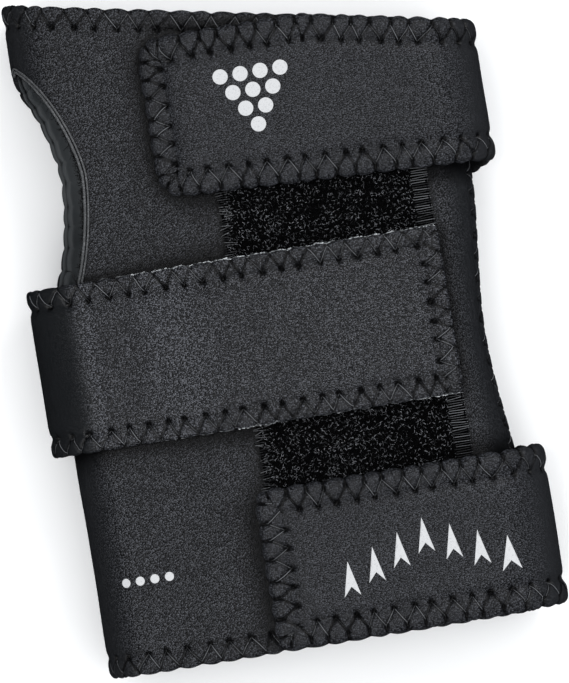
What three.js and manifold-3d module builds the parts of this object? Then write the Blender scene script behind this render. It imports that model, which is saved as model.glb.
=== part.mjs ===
// A leather bowling glove that braces the wrist, closed as it is stored and lying palm down.
// Millimetres, +Z up. X runs across the hand with the thumb side at -X, and Y runs along the hand
// with the finger end at +Y. The origin is on the resting surface, under the middle of the glove.
// One padded panel starts at an edge on the little-finger side, crosses the back of the hand,
// folds round the thumb side and comes back under the palm. Two tabs are butted to its palm edge,
// fold round the little-finger side and close over the back on hook and loop. A wrist strap is
// sewn along the same palm edge, runs under the palm, round the thumb side and over the back.
import * as THREE from "three";
import { mergeVertices } from "three/addons/utils/BufferGeometryUtils.js";
import Module from "manifold-3d";

// The whole glove.
const LENGTH = 171; // wrist edge to the front corner on the thumb side
const WIDTH = 121.6; // from the strap's fold on the thumb side to the tabs' fold
const HOLLOW_HEIGHT = 21; // clear height inside, at the folds
const CROWN = 1.2; // how much the back rises in the middle
const FRONT_SLANT = 0.195; // the front edge falls back this much for each mm towards the little finger

// Walls and the layers over the back of the hand.
const SHELL_WALL = 2.2; // leather and foam
const LINING_WALL = 1;
const TAB_WALL = 3;
const STRAP_WALL = 2.6;
const LOOP_WALL = 1.3;
const HOOK_WALL = 1;
const LAY_GAP = 0.3; // between pieces that lie on each other

// Folds: how far each bulges past the flat, and how far the straps stand off them.
const THUMB_FOLD = 13.5;
const FLAP_FOLD = 12.5;
const TAB_FOLD = 13.8;
const WAIST_PINCH = 3.2; // how far the flap's edge draws in at the wrist
const WAIST_FROM_WRIST = 70.5;
const WAIST_LENGTH = 84;
const STRAP_STAND_OFF = 2.7; // wrist strap off the thumb-side fold
const TAB_STAND_OFF = 3.3; // tabs off the flap's edge

// Thumb hole in the fold, deeper and longer on the back of the hand than on the palm.
const HOLE_DEEPEST_FROM_WRIST = 125.5;
const HOLE_TO_FINGERS_BACK = 30.3; // from where it is deepest to its end
const HOLE_TO_FINGERS_PALM = 24.5;
const HOLE_TO_WRIST_BACK = 40;
const HOLE_TO_WRIST_PALM = 30;
const HOLE_DEPTH_BACK = 13.8;
const HOLE_DEPTH_PALM = 7.4;
const HOLE_CENTRE_OUT = 2; // the middle of its oval lies this far outside the fold
const HOLE_FINGER_POWER = 1.5; // of its curve towards the fingers: 2 is an oval, and less runs straighter
const HOLE_WRIST_POWER = 1.65;
const HOLE_CHANGE = 9.8; // height over which the palm's shape changes to the back's
const PIPING_DIAMETER = 1.5;
const PIPING_REACH = 66; // degrees that it runs round the oval, each way from the deepest point

// Straps and patches, each placed by its distance from the wrist edge.
const TOP_TAB_LOW = 116.4; // at its free end
const TOP_TAB_DROP = 3.6; // how much lower that edge is at the fold
const TOP_TAB_UNDER_DROP = 5; // and how much lower again under the palm
const TOP_TAB_HIGH = 156.7; // its front edge, where the glove's own slant allows it
const TOP_TAB_PAST_LOOP = 14.5;
const TOP_TAB_CORNER = 7;
const BOTTOM_TAB_LOW = 0.5;
const BOTTOM_TAB_WIDTH = 40.7;
const BOTTOM_TAB_PAST_LOOP = 3.25;
const BOTTOM_TAB_CORNER = 4;
const STRAP_LOW = 56.9;
const STRAP_WIDTH = 42.4;
const STRAP_PAST_LOOP = 0.5;
const STRAP_CORNER = 1.6;
const STRAP_BED_RAMP = 10; // run over which the palm lifts onto the strap under it
const LOOP_WIDTH = 52;
const LOOP_FROM_FLAP_EDGE = 11.75;
const LOOP_LOW = 5.5;
const LOOP_LENGTH = 140;
const HOOK_WIDTH = 30; // along the glove
const HOOK_LENGTH = 38; // across the glove
const HOOK_FROM_LOOP_EDGE = 4;
const TAB_SAG_RUN = 14; // run over which a tab comes down off the loop patch
const STRAP_SAG_RUN = 30; // and the wrist strap

// The stitched rim: an edge's thickness as a share of its wall, at shares of the rim's width in from it.
const RIM_WIDTH = 7.5;
const PADDED_RIM = [
  { inset: 0, thick: 0.45 },
  { inset: 0.15, thick: 0.9 },
  { inset: 0.35, thick: 0.95 },
  { inset: 0.6, thick: 0.75 },
  { inset: 1, thick: 1 },
];
const PLAIN_RIM = [{ inset: 0, thick: 1 }];
const LINING_SET_BACK = 0.5; // the lining stops this far inside the shell's edge
const CUT_PAST = 3; // how far a cutter runs past what it cuts

// Facets.
const FOLD_STEPS = 12; // round a half turn
const FLAT_STEPS = 8; // across the glove
const OVAL_STEPS = 36; // round the thumb hole
const PIPING_STEPS = 32; // along the piping
const PIPING_SIDES = 8;
const NORMAL_STEP = 0.01; // radians to each side, where a curve's direction is read
const RAMP_SHARES = [1, 0.75, 0.5, 0.25, 0]; // rows down the slope onto the strap's bed

// Places that follow from those sizes.
const bodyWall = SHELL_WALL + LAY_GAP + LINING_WALL;
const bodyHeight = bodyWall + HOLLOW_HEIGHT + bodyWall;
const middleHeight = bodyHeight / 2;
const wristY = -LENGTH / 2;
const thumbX = -(WIDTH / 2 - STRAP_WALL - STRAP_STAND_OFF);
const thumbFoldX = thumbX + THUMB_FOLD;
const tabInnerX = WIDTH / 2 - TAB_WALL;
const tabFoldX = tabInnerX - TAB_FOLD;
const flapX = tabInnerX - TAB_STAND_OFF;
const flapFoldX = flapX - FLAP_FOLD;
const palmEdgeX = tabFoldX - LAY_GAP;
const loopRightX = flapX - LOOP_FROM_FLAP_EDGE;
const loopLeftX = loopRightX - LOOP_WIDTH;
const hookLift = LAY_GAP + LOOP_WALL + LAY_GAP;
const strapLift = hookLift + HOOK_WALL + LAY_GAP;
const holeY = wristY + HOLE_DEEPEST_FROM_WRIST;
const holeOnBack = {
  depth: HOLE_DEPTH_BACK,
  toFingers: HOLE_TO_FINGERS_BACK,
  toWrist: HOLE_TO_WRIST_BACK,
};
const holeOnPalm = {
  depth: HOLE_DEPTH_PALM,
  toFingers: HOLE_TO_FINGERS_PALM,
  toWrist: HOLE_TO_WRIST_PALM,
};
const strapLowY = wristY + STRAP_LOW;
const strapHighY = strapLowY + STRAP_WIDTH;

const { clamp, lerp, smoothstep } = THREE.MathUtils;

/** The front edge's place along the glove, over a place across it. */
const frontY = (x) => LENGTH / 2 - FRONT_SLANT * (x - thumbX);

/** Height of the flap's outer face over a place across the glove. */
function flapTop(x) {
  if (x < thumbFoldX) return foldHeight((thumbFoldX - x) / THUMB_FOLD);
  if (x > flapFoldX) return foldHeight((x - flapFoldX) / FLAP_FOLD);
  const half = (flapFoldX - thumbFoldX) / 2;
  const fromMiddle = (x - thumbFoldX - half) / half;
  return bodyHeight + CROWN * (1 - fromMiddle * fromMiddle);
}

/** Height of a fold's upper quarter, at a share of the way out to its side. */
function foldHeight(share) {
  const out = clamp(share, 0, 1);
  return middleHeight + middleHeight * Math.sqrt(1 - out * out);
}

/** How far a strap stands over the flap: on hook and loop, or down on the leather past the loop patch. */
function liftOver(x, sagRun) {
  return lerp(LAY_GAP, strapLift, smoothstep(x, loopLeftX - sagRun, loopLeftX));
}

/** How far a place on the flap's fold draws in at the wrist. */
function pinch(x, y) {
  const away = clamp(Math.abs(y - wristY - WAIST_FROM_WRIST) / (WAIST_LENGTH / 2), 0, 1);
  const outward = clamp((x - flapFoldX) / FLAP_FOLD, 0, 1);
  return WAIST_PINCH * outward * (1 - smoothstep(away, 0, 1));
}

/** How far the palm is lifted onto the wrist strap that passes under it. */
function bedLift(y) {
  const outside = Math.max(strapLowY - LAY_GAP - y, y - strapHighY - LAY_GAP, 0);
  return (STRAP_WALL + LAY_GAP) * (1 - smoothstep(outside, 0, STRAP_BED_RAMP));
}

/** Points of a curve in the section plane, at shares of its length, without the last one. */
function alongCurve(curve, shares) {
  return shares.map((share) => curve.getPointAt(share));
}

/** Even shares of a length, from 0 up to but without 1. */
const evenShares = (steps) => Array.from({ length: steps }, (_, k) => k / steps);

/** The distances in from an edge at which a rim changes. */
const rimInsets = (rim) => rim.map((row) => row.inset * RIM_WIDTH);

/** Even shares of a curve that begins at an edge, with the rim's own places at its start. */
function rimShares(rim, length, steps) {
  const start = rimInsets(rim).map((inset) => inset / length);
  const clear = start[start.length - 1] + 0.5 / steps;
  return [...start, ...evenShares(steps).filter((share) => share > clear)];
}

/** How thick an edge is, as a share of its wall, at a distance in from it. */
function rimThickness(rim, inset) {
  const share = inset / RIM_WIDTH;
  const after = rim.findIndex((row) => row.inset > share);
  if (after < 1) return rim[after < 0 ? rim.length - 1 : 0].thick;
  const [a, b] = [rim[after - 1], rim[after]];
  return lerp(a.thick, b.thick, (share - a.inset) / (b.inset - a.inset));
}

/** A run of section points, each with its outward normal and its distance along the run. */
function withNormals(points) {
  let run = 0;
  return points.map((point, k) => {
    const before = points[Math.max(k - 1, 0)];
    const after = points[Math.min(k + 1, points.length - 1)];
    const along = after.clone().sub(before).normalize();
    run += point.distanceTo(before);
    return { x: point.x, z: point.y, out: new THREE.Vector2(along.y, -along.x), run };
  });
}

/** The body's outer face from the flap's edge over the back, round the thumb side and under the palm. */
function bodySection(rim) {
  const quarter = Math.PI / 2;
  const flapCurve = new THREE.EllipseCurve(flapFoldX, middleHeight, FLAP_FOLD, middleHeight, 0, quarter);
  const thumbCurve = new THREE.EllipseCurve(
    thumbFoldX, middleHeight, THUMB_FOLD, middleHeight, quarter, 3 * quarter,
  );
  const palmCurve = new THREE.LineCurve(
    new THREE.Vector2(palmEdgeX, 0), new THREE.Vector2(thumbFoldX, 0),
  );
  const palmLength = palmCurve.getLength();
  const flap = alongCurve(flapCurve, rimShares(rim, flapCurve.getLength(), FOLD_STEPS / 2));
  const back = evenShares(FLAT_STEPS).map((share) => {
    const x = lerp(flapFoldX, thumbFoldX, share);
    return new THREE.Vector2(x, flapTop(x));
  });
  const thumb = alongCurve(thumbCurve, evenShares(FOLD_STEPS));
  const palm = alongCurve(palmCurve, [...rimShares(rim, palmLength, FLAT_STEPS), 1]).reverse();
  const points = withNormals([...flap, ...back, ...thumb, ...palm]);
  const palmRow = points.length - palm.length;
  points.slice(palmRow).forEach((point) => point.out.set(0, -1));
  return points;
}

/** Places along the glove of a ply's rows: a rim at each end, and the slopes of the strap's bed between. */
function rowPlaces(x, rim, setBack) {
  const wrist = wristY + setBack;
  const front = frontY(x) - setBack;
  const insets = rimInsets(rim);
  const ramp = RAMP_SHARES.map((share) => share * STRAP_BED_RAMP);
  const bed = [
    ...ramp.map((run) => strapLowY - LAY_GAP - run),
    ...ramp.map((run) => strapHighY + LAY_GAP + run).reverse(),
  ];
  const lastRow = front - insets[insets.length - 1];
  return [
    ...insets.map((inset) => wrist + inset),
    ...bed,
    (bed[bed.length - 1] + lastRow) / 2,
    ...insets.map((inset) => front - inset).reverse(),
  ];
}

/** A point off a section point: out along its normal, at a place along the glove. */
function offset(point, distance, y, lift = 0) {
  return new THREE.Vector3(point.x + point.out.x * distance, y, point.z + point.out.y * distance + lift);
}

/** One closed wall between two grids of points of the same size, its faces pointing out. */
function wallGeometry(outer, inner) {
  const rows = outer.length;
  const columns = outer[0].length;
  const index = [];
  const o = (i, j) => i * columns + j;
  const n = (i, j) => (rows + i) * columns + j;
  const quad = (a, b, c, d) => index.push(a, b, c, a, c, d);
  for (let i = 0; i < rows - 1; i++) {
    for (let j = 0; j < columns - 1; j++) {
      quad(o(i, j), o(i, j + 1), o(i + 1, j + 1), o(i + 1, j));
      quad(n(i, j), n(i + 1, j), n(i + 1, j + 1), n(i, j + 1));
    }
    const last = columns - 1;
    quad(o(i, 0), o(i + 1, 0), n(i + 1, 0), n(i, 0));
    quad(o(i + 1, last), o(i, last), n(i, last), n(i + 1, last));
  }
  for (let j = 0; j < columns - 1; j++) {
    const last = rows - 1;
    quad(o(0, j + 1), o(0, j), n(0, j), n(0, j + 1));
    quad(o(last, j), o(last, j + 1), n(last, j + 1), n(last, j));
  }
  return new THREE.BufferGeometry().setFromPoints([...outer.flat(), ...inner.flat()]).setIndex(index);
}

/** One ply of the body: its outer face at one depth under the section, its inner face a wall below. */
function bodyPly({ depth, wall, setBack, rim }) {
  const section = bodySection(rim);
  const total = section[section.length - 1].run;
  const grid = (inside) =>
    section.map((point) => {
      const bedShare = Math.max(0, 1 - point.z / middleHeight);
      return rowPlaces(point.x, rim, setBack).map((y) => {
        const toEnd = Math.min(y - wristY, frontY(point.x) - y) - setBack;
        const thick = rimThickness(rim, Math.min(toEnd, point.run, total - point.run));
        const below = inside ? depth + wall : depth + wall * (1 - thick);
        const place = offset(point, -below, y, bedLift(y) * bedShare);
        place.x -= point.z < middleHeight ? 0 : pinch(point.x, y);
        return place;
      });
    });
  return wallGeometry(grid(false), grid(true));
}

/** The thumb hole's cutter: ovals stacked from under the palm to over the back. */
function thumbHoleCutter() {
  const levels = [
    { z: -CUT_PAST, hole: holeOnPalm },
    { z: middleHeight - HOLE_CHANGE / 2, hole: holeOnPalm },
    { z: middleHeight + HOLE_CHANGE / 2, hole: holeOnBack },
    { z: bodyHeight + CROWN + CUT_PAST, hole: holeOnBack },
  ];
  const turns = evenShares(OVAL_STEPS).map((share) => 2 * Math.PI * share);
  const rings = levels.map(({ z, hole }) => turns.map((angle) => holePoint(angle, hole).setZ(z)));
  const index = [];
  for (let i = 0; i < rings.length - 1; i++) {
    for (let k = 0; k < OVAL_STEPS; k++) {
      const [low, high] = [i * OVAL_STEPS, (i + 1) * OVAL_STEPS];
      const next = (k + 1) % OVAL_STEPS;
      index.push(low + k, low + next, high + next, low + k, high + next, high + k);
    }
  }
  const top = (rings.length - 1) * OVAL_STEPS;
  for (let k = 1; k < OVAL_STEPS - 1; k++) index.push(0, k + 1, k, top, top + k, top + k + 1);
  return new THREE.BufferGeometry().setFromPoints(rings.flat()).setIndex(index);
}

/** A point of the hole's outline: an oval, drawn straighter on its way to each end. */
function holePoint(angle, { depth, toFingers, toWrist }) {
  const [reach, power] = Math.sin(angle) > 0 ? [toFingers, HOLE_FINGER_POWER] : [toWrist, HOLE_WRIST_POWER];
  const bow = (share) => Math.sign(share) * Math.abs(share) ** (2 / power);
  const x = thumbX - HOLE_CENTRE_OUT + (depth + HOLE_CENTRE_OUT) * bow(Math.cos(angle));
  return new THREE.Vector3(x, holeY + reach * bow(Math.sin(angle)), 0);
}

/** How far a rounded corner draws an edge in, at a distance from the free end. */
function cornerInset(corner, end) {
  const into = Math.max(corner - end, 0);
  return corner - Math.sqrt(corner * corner - into * into);
}

/** A strap or tab over the points of its inner face, between two edges. */
function strapGeometry({ points, freeEndFirst, wall, lowAt, highAt, corner }) {
  const insets = rimInsets(PADDED_RIM);
  const section = withNormals(points);
  const total = section[section.length - 1].run;
  const grid = (distance) =>
    section.map((point) => {
      const toEnd = freeEndFirst ? point.run : total - point.run;
      const low = lowAt(point) + cornerInset(corner, toEnd);
      const high = highAt(point) - cornerInset(corner, toEnd);
      const out = (inset) => distance * rimThickness(PADDED_RIM, Math.min(inset, toEnd));
      return [
        ...insets.map((inset) => offset(point, out(inset), low + inset)),
        ...insets.map((inset) => offset(point, out(inset), high - inset)).reverse(),
      ];
    });
  return wallGeometry(grid(wall), grid(0));
}

/** Points just over the back's layers, from a free end, with its rim, to where a fold starts. */
function acrossTheBack(endX, foldX, sagRun) {
  const shares = [...rimShares(PADDED_RIM, Math.abs(endX - foldX), 2 * FLAT_STEPS), 1];
  return shares.map((share) => {
    const x = lerp(endX, foldX, share);
    return new THREE.Vector2(x, flapTop(x) + liftOver(x, sagRun));
  });
}

/** The half turn of a strap from the back down to a wall above the resting surface. */
function strapFold(foldX, reach, wall, sagRun) {
  const top = flapTop(foldX) + liftOver(foldX, sagRun);
  const rise = (top - wall) / 2;
  const quarter = Math.PI / 2;
  const clockwise = reach > 0;
  const fold = new THREE.EllipseCurve(
    foldX, wall + rise, Math.abs(reach), rise, quarter, clockwise ? -quarter : 3 * quarter, clockwise,
  );
  return alongCurve(fold, [...evenShares(FOLD_STEPS), 1]);
}

/** A tab's inner face, from the palm's edge round the little-finger side to its free end. */
function tabPoints(endX) {
  const fold = strapFold(tabFoldX, TAB_FOLD, TAB_WALL, TAB_SAG_RUN);
  return [...acrossTheBack(endX, tabFoldX, TAB_SAG_RUN).slice(0, -1), ...fold].reverse();
}

/** The wrist strap's inner face, from its free end round the thumb side and under the palm. */
function wristStrapPoints() {
  const back = acrossTheBack(loopRightX + STRAP_PAST_LOOP, thumbFoldX, STRAP_SAG_RUN);
  const reach = -(WIDTH / 2 - STRAP_WALL + thumbFoldX);
  const fold = strapFold(thumbFoldX, reach, STRAP_WALL, STRAP_SAG_RUN);
  const palm = [...evenShares(FLAT_STEPS), 1].map(
    (share) => new THREE.Vector2(lerp(thumbFoldX, palmEdgeX, share), STRAP_WALL),
  );
  return [...back.slice(0, -1), ...fold.slice(0, -1), ...palm];
}

/** A flat patch over the back of the hand, between two places across and two along the glove. */
function patchGeometry({ rightX, leftX, lowY, highY, lift, wall }) {
  const xs = [...evenShares(FLAT_STEPS), 1].map((share) => lerp(rightX, leftX, share));
  const section = withNormals(xs.map((x) => new THREE.Vector2(x, flapTop(x) + lift)));
  const shares = [...evenShares(FLAT_STEPS / 2), 1];
  const grid = (distance) =>
    section.map((point) => {
      const top = Math.min(highY, frontY(point.x) - RIM_WIDTH);
      return shares.map((share) => offset(point, distance, lerp(lowY, top, share)));
    });
  return wallGeometry(grid(wall), grid(0));
}

/** The piping: a roll that lies just inside the hole's edge, against the shell's wall on the back. */
function pipingGeometry() {
  const radius = PIPING_DIAMETER / 2;
  const reach = THREE.MathUtils.degToRad(PIPING_REACH);
  const line = [...evenShares(PIPING_STEPS), 1].map((share) => {
    const angle = lerp(-reach, reach, share);
    const edge = holePoint(angle, holeOnBack);
    const after = holePoint(angle + NORMAL_STEP, holeOnBack);
    const along = after.sub(holePoint(angle - NORMAL_STEP, holeOnBack)).normalize();
    const into = new THREE.Vector3(-along.y, along.x, 0).multiplyScalar(radius + LAY_GAP);
    return into.add(edge).setZ(flapTop(edge.x) - radius);
  });
  const round = evenShares(PIPING_SIDES).map((share) => {
    const angle = 2 * Math.PI * share;
    return new THREE.Vector2(radius * Math.cos(angle), radius * Math.sin(angle));
  });
  const extrudePath = new THREE.CatmullRomCurve3(line);
  const options = { steps: PIPING_STEPS, bevelEnabled: false, extrudePath };
  return new THREE.ExtrudeGeometry(new THREE.Shape(round), options);
}

const wasm = await Module();
wasm.setup();

/** A closed geometry as a solid that can be cut. */
function toSolid(geometry) {
  const bare = new THREE.BufferGeometry().setAttribute("position", geometry.getAttribute("position"));
  if (geometry.index) bare.setIndex(geometry.index);
  const merged = mergeVertices(bare, 1e-4);
  const { array } = merged.getAttribute("position");
  const triVerts = new Uint32Array(merged.index.array);
  const mesh = new wasm.Mesh({ numProp: 3, vertProperties: array, triVerts });
  return new wasm.Manifold(mesh);
}

/** One closed geometry with another cut out of it. */
function cutOut(geometry, cutter) {
  const mesh = toSolid(geometry).subtract(toSolid(cutter)).getMesh();
  return new THREE.BufferGeometry()
    .setAttribute("position", new THREE.BufferAttribute(new Float32Array(mesh.vertProperties), 3))
    .setIndex(new THREE.BufferAttribute(new Uint32Array(mesh.triVerts), 1));
}

const leather = new THREE.MeshStandardMaterial({ color: 0x26272a, roughness: 0.55, metalness: 0 });
const strapLeather = new THREE.MeshStandardMaterial({ color: 0x2a2c2f, roughness: 0.45, metalness: 0 });
const liningLeather = new THREE.MeshStandardMaterial({ color: 0x2c3033, roughness: 0.4, metalness: 0 });
const loopPile = new THREE.MeshStandardMaterial({ color: 0x0b0b0c, roughness: 1, metalness: 0 });
const hookTape = new THREE.MeshStandardMaterial({ color: 0x111112, roughness: 0.8, metalness: 0 });

const glove = new THREE.Group();

/** Adds one named piece to the glove. */
function addPiece(name, geometry, material) {
  const mesh = new THREE.Mesh(geometry, material);
  mesh.name = name;
  glove.add(mesh);
}

const cutter = thumbHoleCutter();
const shell = bodyPly({ depth: 0, wall: SHELL_WALL, setBack: 0, rim: PADDED_RIM });
const liningDepth = SHELL_WALL + LAY_GAP;
const lining = bodyPly({ depth: liningDepth, wall: LINING_WALL, setBack: LINING_SET_BACK, rim: PLAIN_RIM });
addPiece("body_shell", cutOut(shell, cutter), leather);
addPiece("body_lining", cutOut(lining, cutter), liningLeather);
addPiece("thumb_piping", pipingGeometry(), leather);

const topTabEndX = loopLeftX - TOP_TAB_PAST_LOOP;
const topTabLow = ({ x, z }) => {
  const across = clamp((x - topTabEndX) / (WIDTH / 2 - topTabEndX), 0, 1);
  const under = clamp(1 - z / middleHeight, 0, 1);
  return wristY + TOP_TAB_LOW - TOP_TAB_DROP * Math.max(across, under) - TOP_TAB_UNDER_DROP * under;
};
const topTab = strapGeometry({
  points: tabPoints(topTabEndX),
  freeEndFirst: false,
  wall: TAB_WALL,
  lowAt: topTabLow,
  highAt: ({ x }) => Math.min(wristY + TOP_TAB_HIGH, frontY(x)),
  corner: TOP_TAB_CORNER,
});
addPiece("top_tab", topTab, leather);

const bottomTabLowY = wristY + BOTTOM_TAB_LOW;
const bottomTab = strapGeometry({
  points: tabPoints(loopLeftX - BOTTOM_TAB_PAST_LOOP),
  freeEndFirst: false,
  wall: TAB_WALL,
  lowAt: () => bottomTabLowY,
  highAt: () => bottomTabLowY + BOTTOM_TAB_WIDTH,
  corner: BOTTOM_TAB_CORNER,
});
addPiece("bottom_tab", bottomTab, leather);

const wristStrap = strapGeometry({
  points: wristStrapPoints(),
  freeEndFirst: true,
  wall: STRAP_WALL,
  lowAt: () => strapLowY,
  highAt: () => strapHighY,
  corner: STRAP_CORNER,
});
addPiece("wrist_strap", wristStrap, strapLeather);

const loopPatch = patchGeometry({
  rightX: loopRightX,
  leftX: loopLeftX,
  lowY: wristY + LOOP_LOW,
  highY: wristY + LOOP_LOW + LOOP_LENGTH,
  lift: LAY_GAP,
  wall: LOOP_WALL,
});
addPiece("loop_patch", loopPatch, loopPile);

const topTabMiddleY = wristY + (TOP_TAB_LOW + TOP_TAB_HIGH) / 2 - TOP_TAB_DROP;
const tabHookLeftX = loopLeftX + HOOK_FROM_LOOP_EDGE;
const strapHookLeftX = loopRightX - HOOK_FROM_LOOP_EDGE - HOOK_LENGTH;
const hooks = [
  { name: "top_tab_hook", middleY: topTabMiddleY, leftX: tabHookLeftX },
  { name: "wrist_strap_hook", middleY: (strapLowY + strapHighY) / 2, leftX: strapHookLeftX },
  { name: "bottom_tab_hook", middleY: bottomTabLowY + BOTTOM_TAB_WIDTH / 2, leftX: tabHookLeftX },
];
for (const { name, middleY, leftX } of hooks) {
  const hook = patchGeometry({
    rightX: leftX + HOOK_LENGTH,
    leftX,
    lowY: middleY - HOOK_WIDTH / 2,
    highY: middleY + HOOK_WIDTH / 2,
    lift: hookLift,
    wall: HOOK_WALL,
  });
  addPiece(name, hook, hookTape);
}

export default glove;
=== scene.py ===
"""A bowling glove that braces the wrist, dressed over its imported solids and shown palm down.

Lengths are millimetres until a mesh is made. X runs across the hand with the thumb side at -X,
Y along the hand to the finger end, and Z up to the back of the hand.
"""
import logging
import math
from dataclasses import dataclass, field, replace
from enum import Enum
from typing import Callable, Sequence

import bpy
import numpy as np
from mathutils import Matrix, Vector
from mathutils.geometry import delaunay_2d_cdt
from mathutils.kdtree import KDTree


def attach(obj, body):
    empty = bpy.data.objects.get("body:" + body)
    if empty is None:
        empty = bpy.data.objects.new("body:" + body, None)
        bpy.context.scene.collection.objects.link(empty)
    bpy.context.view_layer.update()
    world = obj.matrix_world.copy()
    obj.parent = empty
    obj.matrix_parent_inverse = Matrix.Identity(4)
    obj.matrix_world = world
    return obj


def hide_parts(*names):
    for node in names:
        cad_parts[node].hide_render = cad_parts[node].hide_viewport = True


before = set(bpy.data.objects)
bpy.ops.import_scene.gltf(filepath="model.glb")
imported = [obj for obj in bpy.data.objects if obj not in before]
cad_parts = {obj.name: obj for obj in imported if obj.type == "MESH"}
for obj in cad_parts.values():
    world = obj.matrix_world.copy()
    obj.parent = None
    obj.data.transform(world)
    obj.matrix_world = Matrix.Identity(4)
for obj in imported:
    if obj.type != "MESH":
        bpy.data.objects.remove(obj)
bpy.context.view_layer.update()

MM = 0.001
STITCH_PITCH = 4.85
CORNER_STEPS = 10
CORNER_BOW = 0.9
ROW_SHARES = (0.026, 0.065, 0.12, 0.185, 0.25, 0.315, 0.385, 0.46, 0.53, 0.6, 0.675, 0.74, 0.81, 0.89, 1.0)
FLUSH_ROWS = (0.3, 1.2, 2.4, 4.2)
FAR_IN = 50.0
LOG = logging.getLogger("glove")

Array = np.ndarray
Lift = Callable[[Array, Array], Array]
Pair = tuple[float, float]
Colour = tuple[float, float, float]
Socket = bpy.types.NodeSocket


@dataclass(frozen=True)
class GloveSizes:
    """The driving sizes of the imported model, repeated here because this script reads only the frame."""

    length: float = 171.0
    width: float = 121.6
    hollow_height: float = 21.0
    crown: float = 1.2
    front_slant: float = 0.195
    shell_wall: float = 2.2
    lining_wall: float = 1.0
    tab_wall: float = 3.0
    strap_wall: float = 2.6
    loop_wall: float = 1.3
    hook_wall: float = 1.0
    lay_gap: float = 0.3
    thumb_fold: float = 13.5
    flap_fold: float = 12.5
    tab_fold: float = 13.8
    waist_pinch: float = 3.2
    waist_from_wrist: float = 70.5
    waist_length: float = 84.0
    strap_stand_off: float = 2.7
    tab_stand_off: float = 3.3
    hole_from_wrist: float = 125.5
    hole_to_fingers_back: float = 30.3
    hole_to_fingers_palm: float = 24.5
    hole_to_wrist_back: float = 40.0
    hole_to_wrist_palm: float = 30.0
    hole_depth_back: float = 13.8
    hole_depth_palm: float = 7.4
    hole_centre_out: float = 2.0
    hole_finger_power: float = 1.5
    hole_wrist_power: float = 1.65
    hole_change: float = 9.8
    top_tab_low: float = 116.4
    top_tab_drop: float = 3.6
    top_tab_under_drop: float = 5.0
    top_tab_high: float = 156.7
    top_tab_past_loop: float = 14.5
    top_tab_corner: float = 7.0
    bottom_tab_low: float = 0.5
    bottom_tab_width: float = 40.7
    bottom_tab_past_loop: float = 3.25
    bottom_tab_corner: float = 4.0
    strap_low: float = 56.9
    strap_width: float = 42.4
    strap_past_loop: float = 0.5
    strap_corner: float = 1.6
    strap_bed_ramp: float = 10.0
    loop_width: float = 52.0
    loop_from_flap_edge: float = 11.75
    loop_low: float = 5.5
    loop_length: float = 140.0
    tab_sag_run: float = 14.0
    strap_sag_run: float = 30.0

    @property
    def body_height(self) -> float:
        """Height of the flap's outer face where its crown starts."""
        return 2 * (self.shell_wall + self.lay_gap + self.lining_wall) + self.hollow_height

    @property
    def middle_height(self) -> float:
        """Half the body's height, where its folds bulge furthest."""
        return self.body_height / 2

    @property
    def wrist_y(self) -> float:
        """The wrist edge's place along the glove."""
        return -self.length / 2

    @property
    def thumb_x(self) -> float:
        """The body's outermost place on the thumb side."""
        return -(self.width / 2 - self.strap_wall - self.strap_stand_off)

    @property
    def thumb_fold_x(self) -> float:
        """Where the thumb-side fold starts."""
        return self.thumb_x + self.thumb_fold

    @property
    def tab_inner_x(self) -> float:
        """The tabs' inner face at its outermost."""
        return self.width / 2 - self.tab_wall

    @property
    def tab_fold_x(self) -> float:
        """Where the tabs' fold starts."""
        return self.tab_inner_x - self.tab_fold

    @property
    def flap_x(self) -> float:
        """The flap's edge on the little-finger side."""
        return self.tab_inner_x - self.tab_stand_off

    @property
    def flap_fold_x(self) -> float:
        """Where the flap starts to turn down."""
        return self.flap_x - self.flap_fold

    @property
    def palm_edge_x(self) -> float:
        """The palm's edge, sewn to the tabs."""
        return self.tab_fold_x - self.lay_gap

    @property
    def loop_right_x(self) -> float:
        """The loop patch's edge on the little-finger side."""
        return self.flap_x - self.loop_from_flap_edge

    @property
    def loop_left_x(self) -> float:
        """The loop patch's edge on the thumb side."""
        return self.loop_right_x - self.loop_width

    @property
    def strap_lift(self) -> float:
        """How far a strap's inner face stands over the flap on hook and loop."""
        return self.lay_gap + self.loop_wall + self.lay_gap + self.hook_wall + self.lay_gap

    @property
    def hole_y(self) -> float:
        """Where the thumb hole is deepest."""
        return self.wrist_y + self.hole_from_wrist

    @property
    def strap_low_y(self) -> float:
        """The wrist strap's edge nearer the wrist end."""
        return self.wrist_y + self.strap_low

    @property
    def strap_high_y(self) -> float:
        """The wrist strap's edge nearer the fingers."""
        return self.strap_low_y + self.strap_width

    @property
    def top_tab_end_x(self) -> float:
        """The top tab's free end."""
        return self.loop_left_x - self.top_tab_past_loop

    @property
    def bottom_tab_end_x(self) -> float:
        """The bottom tab's free end."""
        return self.loop_left_x - self.bottom_tab_past_loop

    def front_y(self, x: Array) -> Array:
        """The front edge's Y at places across the glove."""
        return self.length / 2 - self.front_slant * (x - self.thumb_x)

    def flap_top(self, x: Array) -> Array:
        """Height of the flap's outer face.

        Args:
            x: Places across the glove.

        Returns:
            The height at each place.
        """
        half = (self.flap_fold_x - self.thumb_fold_x) / 2
        from_middle = np.clip((x - self.thumb_fold_x - half) / half, -1, 1)
        crowned = self.body_height + self.crown * (1 - from_middle**2)
        thumb = np.clip((self.thumb_fold_x - x) / self.thumb_fold, 0, 1)
        flap = np.clip((x - self.flap_fold_x) / self.flap_fold, 0, 1)
        out = np.maximum(thumb, flap)
        folded = self.middle_height * (1 + np.sqrt(1 - out**2))
        return np.where(out > 0, folded, crowned)

    def lift_over(self, x: Array, sag_run: float) -> Array:
        """How far a strap's inner face stands over the flap, with the run over which it comes down."""
        share = smooth((x - self.loop_left_x + sag_run) / sag_run)
        return self.lay_gap + (self.strap_lift - self.lay_gap) * share

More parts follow.
